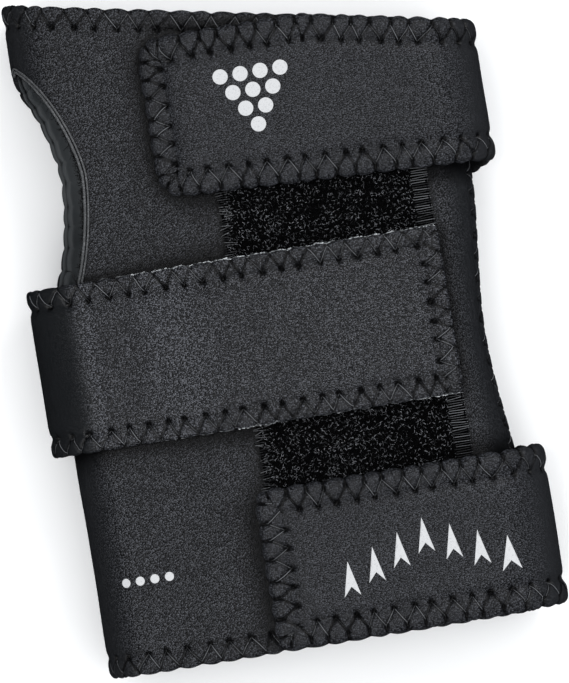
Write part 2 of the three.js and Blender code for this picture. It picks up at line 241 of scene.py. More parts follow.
    def bed_lift(self, z: Array, y: Array) -> Array:
        """How far the palm is lifted onto the wrist strap that passes under it.

        Args:
            z: Heights on the body's section.
            y: Places along the glove.

        Returns:
            The lift at each place.
        """
        below = self.strap_low_y - self.lay_gap - y
        above = y - self.strap_high_y - self.lay_gap
        outside = np.maximum(np.maximum(below, above), 0)
        full = self.strap_wall + self.lay_gap
        share = np.clip(1 - z / self.middle_height, 0, 1)
        return full * (1 - smooth(outside / self.strap_bed_ramp)) * share

    def pinch(self, x: Array, z: Array, y: Array) -> Array:
        """How far the flap's fold draws in at the wrist.

        Args:
            x: Places across the glove.
            z: Heights on the body's section.
            y: Places along the glove.

        Returns:
            The distance at each place.
        """
        away = np.abs(y - self.wrist_y - self.waist_from_wrist) / (self.waist_length / 2)
        outward = np.clip((x - self.flap_fold_x) / self.flap_fold, 0, 1)
        on_flap = z >= self.middle_height - 0.5
        return np.where(on_flap, self.waist_pinch * outward * (1 - smooth(away)), 0)

    def top_tab_low_y(self, x: Array, z: Array) -> Array:
        """The top tab's edge nearer the wrist.

        Args:
            x: Places across the glove.
            z: Heights on the tab's section.

        Returns:
            The edge's Y at each place.
        """
        across = np.clip((x - self.top_tab_end_x) / (self.width / 2 - self.top_tab_end_x), 0, 1)
        under = np.clip(1 - z / self.middle_height, 0, 1)
        drop = self.top_tab_drop * np.maximum(across, under) + self.top_tab_under_drop * under
        return self.wrist_y + self.top_tab_low - drop

    def top_tab_high_y(self, x: Array, z: Array) -> Array:
        """The top tab's edge nearer the fingers, as top_tab_low_y gives the other one."""
        return np.minimum(self.wrist_y + self.top_tab_high, self.front_y(x)) + 0 * z


SIZES = GloveSizes()


def smooth(share: Array) -> Array:
    """A smooth step from 0 to 1, held at both ends."""
    held = np.clip(share, 0, 1)
    return held * held * (3 - 2 * held)


def bell(distance: Array, width: float) -> Array:
    """A bell that is 1 at a distance of 0."""
    return np.exp(-((distance / width) ** 2))


def to_segment(px: Array, py: Array, start: Sequence[float], end: Sequence[float]) -> Array:
    """Distance from points to a straight segment.

    Args:
        px: The points' first coordinates.
        py: Their second coordinates.
        start: One end of the segment.
        end: Its other end.

    Returns:
        The distances.
    """
    dx, dy = end[0] - start[0], end[1] - start[1]
    share = np.clip(((px - start[0]) * dx + (py - start[1]) * dy) / (dx * dx + dy * dy), 0, 1)
    return np.hypot(px - start[0] - share * dx, py - start[1] - share * dy)


def follow(line: Array, step: float) -> Array:
    """Places points evenly along a line.

    Args:
        line: Its points, one a row.
        step: The distance wanted between points.

    Returns:
        Evenly spaced points from its first to its last.
    """
    run = np.concatenate([[0], np.cumsum(np.linalg.norm(np.diff(line, axis=0), axis=1))])
    count = max(int(round(run[-1] / step)), 1)
    places = np.linspace(0, run[-1], count + 1)
    return np.stack([np.interp(places, run, column) for column in line.T], axis=1)


def round_corners(corners: Sequence[Sequence[float]], radii: Sequence[float]) -> Array:
    """Joins corners with straight runs and rounds each of them off.

    Args:
        corners: The corners of an open line.
        radii: How far back from each corner its rounding starts.

    Returns:
        The points of the rounded line.
    """
    points: list[Array] = []
    count = len(corners)
    for k, (corner, radius) in enumerate(zip(corners, radii)):
        here = np.array(corner, dtype=float)
        if radius <= 0 or k in (0, count - 1):
            points.append(here)
            continue
        before = np.array(corners[k - 1], dtype=float) - here
        after = np.array(corners[k + 1], dtype=float) - here
        start = here + before / np.linalg.norm(before) * radius
        end = here + after / np.linalg.norm(after) * radius
        for share in np.linspace(0, 1, CORNER_STEPS):
            middle = here * CORNER_BOW + (start + end) / 2 * (1 - CORNER_BOW)
            point = (1 - share) ** 2 * start + 2 * share * (1 - share) * middle + share**2 * end
            points.append(point)
    return np.array(points)


class Side(Enum):
    """Which face of a panel."""

    OUTER = 1
    INNER = -1


class EdgeFinish(Enum):
    """How a panel's edge is finished."""

    ZIGZAG = "overstitched in a zigzag"
    TURNED = "turned and piped"
    BUTT = "sewn edge to edge"
    WOVEN = "selvage"


FLUSH = (EdgeFinish.BUTT, EdgeFinish.WOVEN)


@dataclass(frozen=True)
class Zigzag:
    """An overstitched edge: legs of thread from needle holes to notches in the rim."""

    pitch: float = STITCH_PITCH
    notch_in: float = 1.9
    hole_in: float = 4.7
    scallop: float = 0.75
    leg_groove: float = 0.34
    hole_depth: float = 0.95
    notch_depth: float = 0.8
    crease_wide: float = 0.42
    hole_wide: float = 0.62

    def scallop_at(self, stitch: Array) -> Array:
        """How far the edge draws in along the stitches, a little more at some notches than at others.

        Args:
            stitch: Stitches along the edge: whole at a notch, half at a needle hole.

        Returns:
            The distances.
        """
        notch = np.round(stitch)
        pull = self.scallop * (0.85 + 0.3 * np.sin(notch * 2.1) * np.sin(notch * 0.7 + 1))
        return pull * (1 - np.abs(np.sin(np.pi * stitch)))

    def relief(self, inset: Array, phase: Array, pitch: Array) -> Array:
        """How far the leather is drawn down.

        Args:
            inset: Distance in from the edge.
            phase: 0 at a notch, 0.5 at a needle hole.
            pitch: Length of one stitch there.

        Returns:
            The depths.
        """
        aside = np.abs(phase - 0.5) * pitch
        half = self.pitch / 2
        leg = to_segment(aside, inset, (0.0, self.hole_in), (half, self.notch_in))
        notch = np.hypot(half - aside, np.maximum(inset - self.notch_in, 0))
        hole = np.hypot(aside, inset - self.hole_in)
        drawn = self.leg_groove * bell(leg, self.crease_wide) + self.hole_depth * bell(hole, self.hole_wide)
        return drawn + self.notch_depth * bell(notch, self.crease_wide) * np.clip(1.3 - inset / 5, 0, 1)


BODY_STITCH = Zigzag(pitch=5.35, notch_in=1.3, hole_in=5.2, scallop=0.62)
TAB_STITCH = Zigzag(notch_in=2.4, hole_in=6.3, scallop=0.8, notch_depth=1.2)
STRAP_STITCH = Zigzag(notch_in=0.8, hole_in=4.8, scallop=0.35)
LINING_STITCH = replace(BODY_STITCH, scallop=0.75, leg_groove=0.05, hole_depth=0.05, notch_depth=0.25)


@dataclass
class Section:
    """A smooth run of points in the plane across the glove."""

    points: Array
    out: Array
    run: Array

    @classmethod
    def through(cls, line: Sequence[Array], step: float = 0.4, ease: float = 2.4) -> "Section":
        """Makes a section from the points of its curves.

        Args:
            line: Pieces of the curve in order, each with x and z in its columns.
            step: Distance between its points.
            ease: Run over which its direction is eased.

        Returns:
            The section.
        """
        points = follow(np.concatenate(line), step)
        along = np.gradient(points, axis=0)
        width = max(int(round(ease / step)), 1)
        kernel = np.hanning(width + 2)[1:-1]
        kernel /= kernel.sum()
        padded = np.pad(along, ((width, width), (0, 0)), mode="edge")
        eased = np.stack([np.convolve(column, kernel, mode="same") for column in padded.T], axis=1)
        along = eased[width:-width]
        along /= np.linalg.norm(along, axis=1, keepdims=True)
        run = np.concatenate([[0], np.cumsum(np.linalg.norm(np.diff(points, axis=0), axis=1))])
        return cls(points, np.stack([along[:, 1], -along[:, 0]], axis=1), run)

    @property
    def length(self) -> float:
        """The section's whole run."""
        return float(self.run[-1])

    def at(self, run: Array) -> tuple[Array, Array, Array, Array]:
        """Places and outward directions.

        Args:
            run: Distances along the section.

        Returns:
            x, z, and the outward direction's x and z.
        """
        x, z = (np.interp(run, self.run, column) for column in self.points.T)
        out_x, out_z = (np.interp(run, self.run, column) for column in self.out.T)
        return x, z, out_x, out_z

    def run_at_x(self, x: Array, low: float, high: float) -> Array:
        """Distance along a stretch of the section where it crosses a place across the glove.

        Args:
            x: Places across the glove.
            low: Where the stretch starts.
            high: Where it ends.

        Returns:
            The distances.
        """
        inside = (self.run >= low) & (self.run <= high)
        xs, runs = self.points[inside, 0], self.run[inside]
        order = np.argsort(xs)
        return np.interp(x, xs[order], runs[order])


@dataclass
class Hem:
    """One stretch of a panel's edge, with the panel on its left."""

    line: Array
    finish: EdgeFinish
    pitch: float = STITCH_PITCH
    fine: float = 0.1
    uneven: Pair = (0.06, 0.03)
    run: Array = field(init=False)
    inward: Array = field(init=False)
    stitches: int = field(init=False)
    stitch: Array = field(init=False)

    def __post_init__(self) -> None:
        """Spaces the line's points evenly, finds which way is in and counts the stitches along it."""
        self.line = follow(self.line, self.fine)
        steps = np.linalg.norm(np.diff(self.line, axis=0), axis=1)
        self.run = np.concatenate([[0], np.cumsum(steps)])
        along = np.gradient(self.line, axis=0)
        along /= np.linalg.norm(along, axis=1, keepdims=True)
        self.inward = np.stack([-along[:, 1], along[:, 0]], axis=1)
        self.stitches = max(int(round(self.run[-1] / self.pitch)), 1)
        self.pitch = self.run[-1] / self.stitches
        even = self.run / self.pitch
        ends = np.clip(np.minimum(even, self.stitches - even), 0, 1)
        slow, fast = self.uneven
        self.stitch = even + ends * (slow * np.sin(2.4 * even) + fast * np.sin(4.7 * even + 1.3))

    def stitch_at(self, run: Array) -> Array:
        """How many stitches lie before a run: whole at a notch, half at a needle hole."""
        return np.interp(run, self.run, self.stitch)

    def run_at(self, stitch: Array) -> Array:
        """The run at which so many stitches are done."""
        return np.interp(stitch, self.stitch, self.run)

    def at(self, run: Array, inset: Array) -> Array:
        """Points at distances along and in from the edge.

        Args:
            run: Distances along it.
            inset: Distances in from it.

        Returns:
            The points, one a row.
        """
        base = np.stack([np.interp(run, self.run, column) for column in self.line.T], axis=1)
        inward = np.stack([np.interp(run, self.run, column) for column in self.inward.T], axis=1)
        return base + inward * np.reshape(inset, (-1, 1))


@dataclass
class Panel:
    """A padded piece cut flat, stitched round its edges and bent along a section."""

    name: str
    section: Section
    loops: list[list[Hem]]
    wall: float
    depth: float = 0.0
    zigzag: Zigzag = field(default_factory=Zigzag)
    spacing: float = 1.5
    edge_step: float = 0.4
    round_over: float = 1.7
    middle: float = 0.45
    rim_puff: float = 0.3
    channel: float = 0.5
    # Tilts, in degrees, over which a fold's grain is drawn smooth and its painted shade comes in.
    turn: Pair = (11.0, 24.0)
    shift: Lift | None = None
    lift: Lift | None = None
    ripple: float = 0.12
    scallop_fade: float = 3.0
    flush_round: float = 0.35
    puff: Pair = (0.53, 0.4)
    channel_past: float = 0.2
    channel_wide: float = 1.1
    inner_relief: float = 0.6
    inner_channel: float = 0.3
    rim_wide: float = 4.0
    hems: list[Hem] = field(init=False)
    hem_of: Array = field(init=False)
    run_of: Array = field(init=False)
    inward_of: Array = field(init=False)
    line_of: Array = field(init=False)
    pitch_of: Array = field(init=False)
    is_zigzag: Array = field(init=False)
    is_flush: Array = field(init=False)
    tree: KDTree = field(init=False)

    def __post_init__(self) -> None:
        """Gathers the hems and indexes their points."""
        self.hems = [hem for loop in self.loops for hem in loop]
        self.hem_of = np.concatenate([np.full(len(hem.run), k) for k, hem in enumerate(self.hems)])
        self.run_of = np.concatenate([hem.run for hem in self.hems])
        self.inward_of = np.concatenate([hem.inward for hem in self.hems])
        self.line_of = np.concatenate([hem.line for hem in self.hems])
        self.pitch_of = np.array([hem.pitch for hem in self.hems])
        self.is_zigzag = np.array([hem.finish is EdgeFinish.ZIGZAG for hem in self.hems])
        self.is_flush = np.array([hem.finish in FLUSH for hem in self.hems])
        self.tree = KDTree(len(self.line_of))
        for k, (s, y) in enumerate(self.line_of):
            self.tree.insert((s, y, 0), k)
        self.tree.balance()

    @property
    def rows_reach(self) -> float:
        """How far in from the edge the close rows of points go."""
        return self.zigzag.hole_in + 1.5

    def nearest(self, flat: Array) -> tuple[Array, Array, Array]:
        """The nearest place on the edge.

        Args:
            flat: Points on the flat panel.

        Returns:
            Each point's distance in from the edge (less than 0 outside), its hem and its run on it.
        """
        found = [self.tree.find((s, y, 0))[1] for s, y in flat]
        index = np.array(found, dtype=int)
        away = flat - self.line_of[index]
        side = np.einsum("ij,ij->i", away, self.inward_of[index])
        distance = np.linalg.norm(away, axis=1) * np.where(side < 0, -1, 1)
        return distance, self.hem_of[index], self.run_of[index]

    def stitch_at(self, hem: Array, run: Array) -> Array:
        """Stitches along the hems: whole at a notch, half at a needle hole.

        Args:
            hem: Index of each place's hem.
            run: Run on that hem.

        Returns:
            How many stitches lie before each place.
        """
        stitch = np.zeros(len(run))
        for k, edge in enumerate(self.hems):
            stitch[hem == k] = edge.stitch_at(run[hem == k])
        return stitch

    def heights(self, inset: Array, hem: Array, run: Array, side: Side) -> Array:
        """How far a face stands out from the section.

        Args:
            inset: Distance in from the edge.
            hem: Index of the nearest hem.
            run: Run on that hem.
            side: Which face.

        Returns:
            The distances, which are less than 0 under the section.
        """
        stitch = self.stitch_at(hem, run)
        stitched = self.is_zigzag[hem]
        hole_in = self.zigzag.hole_in
        draw_in = np.where(stitched, self.zigzag.scallop_at(stitch), 0)
        from_edge = np.maximum(inset - draw_in * np.clip(1 - (inset - draw_in) / self.scallop_fade, 0, 1), 0)
        share = np.clip(from_edge / np.where(self.is_flush[hem], self.flush_round, self.round_over), 0, 1)
        roundness = np.sqrt(np.clip(1 - (1 - share) ** 2, 0, 1))
        middle = self.wall * self.middle
        relief = np.where(stitched, self.zigzag.relief(inset, stitch % 1.0, self.pitch_of[hem]), 0)
        puff_in, puff_wide = (value * hole_in for value in self.puff)
        roll = np.where(stitched, self.rim_puff * bell(inset - puff_in, puff_wide), 0)
        past_holes = inset - hole_in - self.channel_past
        sunk = np.where(stitched, self.channel * bell(past_holes, self.channel_wide), 0)
        if side is Side.OUTER:
            padded = (self.wall - middle) * (roundness - 1)
            return self.base_height(side) + padded + (roll - sunk - relief) * share
        through = (self.inner_relief * relief + self.inner_channel * sunk) * share
        return self.base_height(side) + middle * (1 - roundness) + through

    def base_height(self, side: Side) -> float:
        """The plain height of one face."""
        return self.depth + (self.wall if side is Side.OUTER else 0)

    def place(self, flat: Array, height: Array) -> Array:
        """Bends flat points along the section.

        Args:
            flat: Points on the flat panel.
            height: How far each stands out from the section.

        Returns:
            The points in millimetres.
        """
        s, y = flat[:, 0], flat[:, 1]
        held = np.clip(s, 0, self.section.length)
        x, z, out_x, out_z = self.section.at(held)
        past = s - held
        shift = self.shift(x, z, y) if self.shift else 0
        lift = self.lift(z, y) if self.lift else 0
        across = x + out_x * height - out_z * past - shift
        return np.stack([across, y, z + out_z * height + out_x * past + lift], axis=1)

    def waves(self, flat: Array) -> Array:
        """Gentle unevenness of padded leather.

        Args:
            flat: Points on the flat panel.

        Returns:
            Heights about 0.
        """
        s, y = flat[:, 0], flat[:, 1]
        seed = sum(map(ord, self.name)) % 17
        broad = np.sin(s / 9.0 + seed) * np.sin(y / 7.5 + 1.7 * seed)
        narrow = np.sin((s + 0.6 * y) / 4.1 + 2.1 * seed) * np.sin((y - 0.5 * s) / 5.3 + seed)
        return self.ripple * (broad + 0.4 * narrow)

    def surface(self, flat: Array, inset: Array, hem: Array, run: Array) -> Array:
        """How far the finished outer face stands out from the section, at points and their nearest places."""
        return self.heights(inset, hem, run, Side.OUTER) + self.waves(flat) * smooth((inset - 0.5) / 3)

    def draw_in(self, hem: Hem, runs: Array) -> Array:
        """How far a hem's edge draws in at runs along it."""
        stitched = hem.finish is EdgeFinish.ZIGZAG
        return self.zigzag.scallop_at(hem.stitch_at(runs)) if stitched else np.zeros(len(runs))

    def flat_points(self) -> tuple[Array, list[tuple[int, int]]]:
        """The flat points to join: the edge, rows beside it, and a grid inside.

        Returns:
            The points, and the pairs of them that run round the edge.
        """
        edge: list[Array] = []
        pairs: list[tuple[int, int]] = []
        start = 0
        for loop in self.loops:
            ring: list[Array] = []
            for hem in loop:
                count = max(int(round(hem.run[-1] / self.edge_step)), 2)
                runs = np.linspace(0, hem.run[-1], count, endpoint=False)
                ring.append(hem.at(runs, self.draw_in(hem, runs)))
            points = np.concatenate(ring)
            count = len(points)
            pairs += [(start + k, start + (k + 1) % count) for k in range(count)]
            start += count
            edge.append(points)
        return np.concatenate([*edge, self.row_points(), self.grid_points()]), pairs

    def row_points(self) -> Array:
        """Points in rows beside the edge, closer together where it rounds over.

        Returns:
            The points, none nearer to another stretch of the edge.
        """
        rows: list[Array] = []
        wanted: list[Array] = []
        for hem in self.hems:
            flush = hem.finish in FLUSH
            step = self.edge_step * (2.5 if flush else 1)
            count = max(int(round(hem.run[-1] / step)), 2)
            insets = (*FLUSH_ROWS, self.rows_reach) if flush else np.array(ROW_SHARES) * self.rows_reach
            for k, inset in enumerate(insets):
                runs = (np.arange(count) + (0.5 if k % 2 else 0.0)) * hem.run[-1] / count
                reach = inset + self.draw_in(hem, runs) * max(0.0, 1 - inset / 1.6)
                rows.append(hem.at(runs, reach))
                wanted.append(reach)
        points, reach = np.concatenate(rows), np.concatenate(wanted)
        distance, _, _ = self.nearest(points)
        return points[distance > reach - 0.06]

    def grid_points(self) -> Array:
        """An even grid of points inside the rows.

        Returns:
            The points.
        """
        low, high = self.line_of.min(axis=0), self.line_of.max(axis=0)
        rise = self.spacing * math.sqrt(3) / 2
        points: list[Array] = []
        for k, y in enumerate(np.arange(low[1], high[1], rise)):
            s = np.arange(low[0] + (self.spacing / 2 if k % 2 else 0), high[0], self.spacing)
            points.append(np.stack([s, np.full(len(s), y)], axis=1))
        grid = np.concatenate(points)
        distance, _, _ = self.nearest(grid)
        return grid[distance > self.rows_reach + self.spacing / 2]

    def build(self, finishes: Sequence[bpy.types.Material]) -> bpy.types.Object:
        """Makes the padded panel.

        Args:
            finishes: The outer face's material and the inner face's.

        Returns:
            The new object.
        """
        flat, pairs = self.flat_points()
        coords, _, faces, *_ = delaunay_2d_cdt([Vector(p) for p in flat], pairs, [], 1, 1e-5, False)
        flat = np.array([tuple(p) for p in coords])
        faces = np.array(faces)
        faces = faces[(faces >= len(pairs)).any(axis=1)]
        inset, hem, run = self.nearest(flat)
        on_edge = np.arange(len(flat)) < len(pairs)
        middle = self.base_height(Side.INNER) + self.wall * self.middle
        upper = self.place(flat, np.where(on_edge, middle, self.surface(flat, inset, hem, run)))
        lower = self.place(flat, self.heights(inset, hem, run, Side.INNER))
        below = np.arange(len(flat))
        below[~on_edge] = len(flat) + np.arange(int((~on_edge).sum()))
        points = np.concatenate([upper, lower[~on_edge]])
        triangles = np.concatenate([faces[:, ::-1], below[faces]])
        slots = np.concatenate([np.zeros(len(faces), int), np.ones(len(faces), int)])
        shares = {
            "rim": bell(np.maximum(inset, 0), self.rim_wide),
            "inset": np.where(self.is_zigzag[hem], inset, FAR_IN),
            "stitch": self.stitch_at(hem, run),
            "fold": self.fold(flat),
            "bend": self.bend(flat),
            "across": flat[:, 0],
            "along": flat[:, 1],
        }
        shares = {key: np.concatenate([values, values[~on_edge]]) for key, values in shares.items()}
        return make_object(self.name, points, triangles, finishes, slots, shares)

    def bend(self, flat: Array) -> Array:
        """How far the leather starts to turn towards the thumb side, from 0 where it lies flat up to 1, where
        a painted highlight goes.
        """
        _, _, out_x, out_z = self.section.at(np.clip(flat[:, 0], 0, self.section.length))
        return smooth((np.degrees(np.arctan2(-out_x, out_z)) - 5.5) / 6) * (out_z > 0)

    def fold(self, flat: Array) -> Array:
        """How far the leather turns round a fold, where its grain is drawn smooth and painted shade darkens
        its colour.

        Args:
            flat: Points on the flat panel.

        Returns:
            0 where it lies flat, up to 1 where it turns.
        """
        out_z = self.section.at(np.clip(flat[:, 0], 0, self.section.length))[3]
        tilt = np.degrees(np.arccos(np.clip(out_z, -1, 1)))
        low, high = self.turn
        return smooth((tilt - low) / (high - low)) * smooth((180 - low - tilt) / (high - low))


def make_object(
    name: str,
    points: Array,
    faces: Array,
    finishes: Sequence[bpy.types.Material],
    slots: Array | None = None,
    shares: dict[str, Array] | None = None,
) -> bpy.types.Object:
    """Makes a smooth mesh object.

    Args:
        name: Its name.
        points: Its points in millimetres.
        faces: Its faces, all with as many corners.
        finishes: Its materials.
        slots: Which material each face has.
        shares: Values stored on its points, by name.

    Returns:
        The object, linked to the scene.
    """
    mesh = bpy.data.meshes.new(name)
    corners = faces.shape[1]
    mesh.vertices.add(len(points))
    mesh.vertices.foreach_set("co", (points * MM).astype(np.float32).ravel())
    mesh.loops.add(faces.size)
    mesh.loops.foreach_set("vertex_index", faces.astype(np.int32).ravel())
    mesh.polygons.add(len(faces))
    mesh.polygons.foreach_set("loop_start", np.arange(0, faces.size, corners, dtype=np.int32))
    mesh.polygons.foreach_set("use_smooth", np.ones(len(faces), dtype=bool))
    for finish in finishes:
        mesh.materials.append(finish)
    if slots is not None:
        mesh.polygons.foreach_set("material_index", slots.astype(np.int32))
    mesh.update(calc_edges=True)
    mesh.validate()
    for key, values in (shares or {}).items():
        layer = mesh.attributes.new(key, "FLOAT", "POINT")
        layer.data.foreach_set("value", values.astype(np.float32))
    piece = bpy.data.objects.new(name, mesh)
    bpy.context.scene.collection.objects.link(piece)
    return piece


@dataclass
class Strands:
    """Many thin round strands joined in one mesh."""

    name: str
    radius: float
    sides: int = 5
    points: list[Array] = field(default_factory=list)
    faces: list[Array] = field(default_factory=list)
    tones: list[Array] = field(default_factory=list)
    count: int = 0

    def add(
        self, lines: Array, normals: Array, radius: float | None = None, tone: Array | None = None
    ) -> None:
        """Adds strands that have as many points each.

        Args:
            lines: Their points, as strand, point and coordinate.
            normals: A direction across each strand at each point.
            radius: Their radius, where it isn't the usual one.
            tone: How light each is, from 0 to 1, for each strand or point. Random where it isn't given.
        """
        size = radius or self.radius
        if tone is None:
            tone = np.random.default_rng(self.count).uniform(0, 1, (len(lines), 1))
        self.tones.append(np.repeat(np.broadcast_to(tone, lines.shape[:2]).ravel(), self.sides))
        along = np.gradient(lines, axis=1)
        along /= np.linalg.norm(along, axis=2, keepdims=True) + 1e-12
        side = np.cross(along, normals)
        side /= np.linalg.norm(side, axis=2, keepdims=True) + 1e-12
        up = np.cross(side, along)
        turn = np.linspace(0, 2 * np.pi, self.sides, endpoint=False)
        ring = np.cos(turn)[:, None] * side[:, :, None, :] + np.sin(turn)[:, None] * up[:, :, None, :]
        points = lines[:, :, None, :] + size * ring
        strands, length = lines.shape[:2]
        index = np.arange(strands * length * self.sides).reshape(strands, length, self.sides)
        after = np.roll(index, -1, axis=2)
        quads = np.stack([index[:, :-1], index[:, 1:], after[:, 1:], after[:, :-1]], axis=-1)
        self.points.append(points.reshape(-1, 3))
        self.faces.append(quads.reshape(-1, 4) + self.count)
        self.count += points[..., 0].size

    def build(self, finish: bpy.types.Material) -> bpy.types.Object:
        """Makes the strands' object, with each point's tone stored on it."""
        points, faces, tones = (np.concatenate(rows) for rows in (self.points, self.faces, self.tones))
        return make_object(self.name, points, faces, [finish], shares={"tone": tones})


@dataclass
class Seam:
    """The thread of a panel's zigzag."""

    panel: Panel
    thread: float = 0.105
    # A random lightness for each stitch, which scales its painted highlight, and how light the legs in their
    # crease are, as painted shade.
    wear_and_glint: Pair = (0.2, 1.0)
    crease_shade_tone: float = 0.7
    rim_insets: tuple[float, ...] = (0.02, 0.3, 0.9)

    def legs(self, hem_index: int, side: Side) -> tuple[Array, Array, Array]:
        """Points of every stitch on one face of a hem.

        The leg that runs in to the needle hole lies on top, and the one that comes back lies in its crease.

        Args:
            hem_index: Which hem.
            side: Which face.

        Returns:
            The stitches' points, their directions away from the leather, and how light each point is: a
            painted highlight on the top legs and painted shade on the legs in their crease and in the
            notches, varied at random from stitch to stitch.
        """
        hem = self.panel.hems[hem_index]
        zigzag = self.panel.zigzag
        shares = np.linspace(0, 1, 7)[1:]
        notch_in = zigzag.notch_in
        rim = np.array([*self.rim_insets, notch_in])
        down = notch_in + (zigzag.hole_in - notch_in) * shares
        inset = np.concatenate([rim, down, down[-2::-1], rim[::-1]])
        aside = np.concatenate([0 * rim, 0.5 * shares, 1 - 0.5 * shares[-2::-1], 0 * rim + 1])
        stitch = np.arange(hem.stitches)[:, None] + aside[None, :]
        runs = hem.run_at(stitch)
        insets = np.broadcast_to(inset, runs.shape)
        draw = np.where(insets < 1.2, zigzag.scallop_at(stitch), 0)
        which = np.full(runs.size, hem_index)
        flat = hem.at(runs.ravel(), (insets + draw).ravel())
        height = self.panel.heights((insets + draw).ravel(), which, runs.ravel(), side)
        in_notch = np.clip((notch_in - insets) / 0.5, 0, 1)
        on_top = smooth((0.5 - aside) / 0.06) * np.ones(runs.shape)
        height += side.value * self.thread * (0.1 + 0.9 * on_top - 2.4 * in_notch).ravel()
        points = self.panel.place(flat, height)
        above = self.panel.place(flat, height + side.value)
        shape = (*runs.shape, 3)
        wear_and_glint = np.random.default_rng(hem.stitches).uniform(*self.wear_and_glint, (hem.stitches, 1))
        # Painted light on the thread: legs on top lighter as a painted highlight, legs in the crease and in
        # the notches darker as painted shade.
        tone = (self.crease_shade_tone + (1 - self.crease_shade_tone) * on_top) * (1 - in_notch) * wear_and_glint
        return points.reshape(shape), (above - points).reshape(shape), tone

    def build(self, finish: bpy.types.Material) -> bpy.types.Object:
        """Makes the thread's object.

        Args:
            finish: Its material.

        Returns:
            The object.
        """
        strands = Strands(f"{self.panel.name}_thread", self.thread)
        for k, hem in enumerate(self.panel.hems):
            if hem.finish is EdgeFinish.ZIGZAG:
                lines, normals, tone = self.legs(k, Side.OUTER)
                strands.add(lines, normals, tone=tone)
        return strands.build(finish)


class Nodes:
    """A small helper that adds shader nodes to one material."""

    def __init__(self, name: str) -> None:
        """Starts a material with only its output and shader.

        Args:
            name: The material's name.
        """
        self.material = bpy.data.materials.new(name)
        self.material.use_nodes = True
        self.tree = self.material.node_tree
        self.tree.nodes.clear()
        output = self.tree.nodes.new("ShaderNodeOutputMaterial")
        self.shader = self.tree.nodes.new("ShaderNodeBsdfPrincipled")
        self.feed(output.inputs[0], self.shader.outputs[0])

    def feed(self, socket: Socket, value: object) -> None:
        """Links a socket to a value where that is a socket too, and sets it otherwise.

        Args:
            socket: The socket that is fed.
            value: What feeds it.
        """
        if isinstance(value, Socket):
            self.tree.links.new(value, socket)
        else:
            socket.default_value = value

    def add(self, kind: str, **settings: object) -> bpy.types.Node:
        """Adds a node.

        Args:
            kind: Its type's name after ShaderNode.
            **settings: Its properties, and what feeds its inputs, named with an underscore for a space.

        Returns:
            The node.
        """
        node = self.tree.nodes.new(f"ShaderNode{kind}")
        for key, value in settings.items():
            if hasattr(node, key):
                setattr(node, key, value)
            else:
                self.feed(node.inputs[key.replace("_", " ")], value)
        return node

    def coordinates(self) -> Socket:
        """The object's own coordinates in millimetres."""
        place = self.add("TexCoord").outputs["Object"]
        return self.add("Mapping", Vector=place, Scale=(1 / MM, 1 / MM, 1 / MM)).outputs[0]

    def stored(self, name: str) -> Socket:
        """A value stored on the mesh's points."""
        return self.add("Attribute", attribute_name=name).outputs["Fac"]

    def noise(self, place: Socket, **settings: float) -> bpy.types.Node:
        """Adds a noise texture."""
        return self.add("TexNoise", Vector=place, **settings)

    def flat_place(self) -> Socket:
        """Where a point lay on the panel before it was bent, in millimetres."""
        return self.add("CombineXYZ", X=self.stored("across"), Y=self.stored("along")).outputs[0]

    def math(self, operation: str, first: object, *others: object) -> Socket:
        """Calculates with two values, and goes on with the result where there are more.

        Args:
            operation: Blender's name for the calculation.
            first: A socket or a number.
            *others: The values that follow it. One of 0 is given where the calculation needs no second.

        Returns:
            The result's socket.
        """
        for other in others:
            node = self.add("Math", operation=operation)
            self.feed(node.inputs[0], first)
            self.feed(node.inputs[1], other)
            first = node.outputs[0]
        return first

    def ramp(self, value: Socket, low: float, high: float, to: Pair) -> Socket:
        """Maps one range of values onto another, eased and held at its ends."""
        ends = dict(From_Min=low, From_Max=high, To_Min=to[0], To_Max=to[1])
        return self.add("MapRange", interpolation_type="SMOOTHSTEP", Value=value, **ends).outputs["Result"]

    def mix(self, share: Socket, first: object, second: object) -> Socket:
        """Mixes two colours by a share.

        Args:
            share: 0 for the first and 1 for the second.
            first: A colour or a socket.
            second: A colour or a socket.

        Returns:
            The mixed colour's socket.
        """
        node = self.add("Mix", data_type="RGBA")
        self.feed(node.inputs[0], share)
        for socket, colour in zip((node.inputs[6], node.inputs[7]), (first, second)):
            self.feed(socket, colour if isinstance(colour, Socket) else (*colour, 1))
        return node.outputs[2]

    def length(self, x: Socket, y: Socket) -> Socket:
        """The length of a flat vector."""
        vector = self.add("CombineXYZ", X=x, Y=y).outputs[0]
        return self.add("VectorMath", operation="LENGTH", Vector=vector).outputs["Value"]

    def to_segment(self, x: Socket, y: Socket, start: Pair, end: Pair) -> Socket:
        """Distance from a flat point to a straight segment.

        Args:
            x: The point's first coordinate.
            y: Its second.
            start: One end of the segment.
            end: Its other end.

        Returns:
            The distance's socket.
        """
        way = (end[0] - start[0], end[1] - start[1])
        size = way[0] ** 2 + way[1] ** 2
        away = [self.math("SUBTRACT", value, low) for value, low in zip((x, y), start)]
        parts = [self.math("MULTIPLY", value, step / size) for value, step in zip(away, way)]
        share = self.math("MINIMUM", self.math("MAXIMUM", self.math("ADD", *parts), 0.0), 1.0)
        reach = [self.math("MULTIPLY", share, step) for step in way]
        return self.length(*(self.math("SUBTRACT", value, step) for value, step in zip(away, reach)))

    def bump(self, height: Socket, distance: float, **under: Socket) -> Socket:
        """Adds a bump of so many millimetres, over the Normal of another one where it is given."""
        node = self.add("Bump", Strength=1.0, Distance=distance * MM, Height=height, **under)
        return node.outputs["Normal"]

    def finish(self, **inputs: object) -> bpy.types.Material:
        """Feeds the shader's inputs, named with an underscore for a space.

        Args:
            **inputs: What feeds each.

        Returns:
            The finished material.
        """
        for key, value in inputs.items():
            self.feed(self.shader.inputs[key.replace("_", " ")], value)
        return self.material


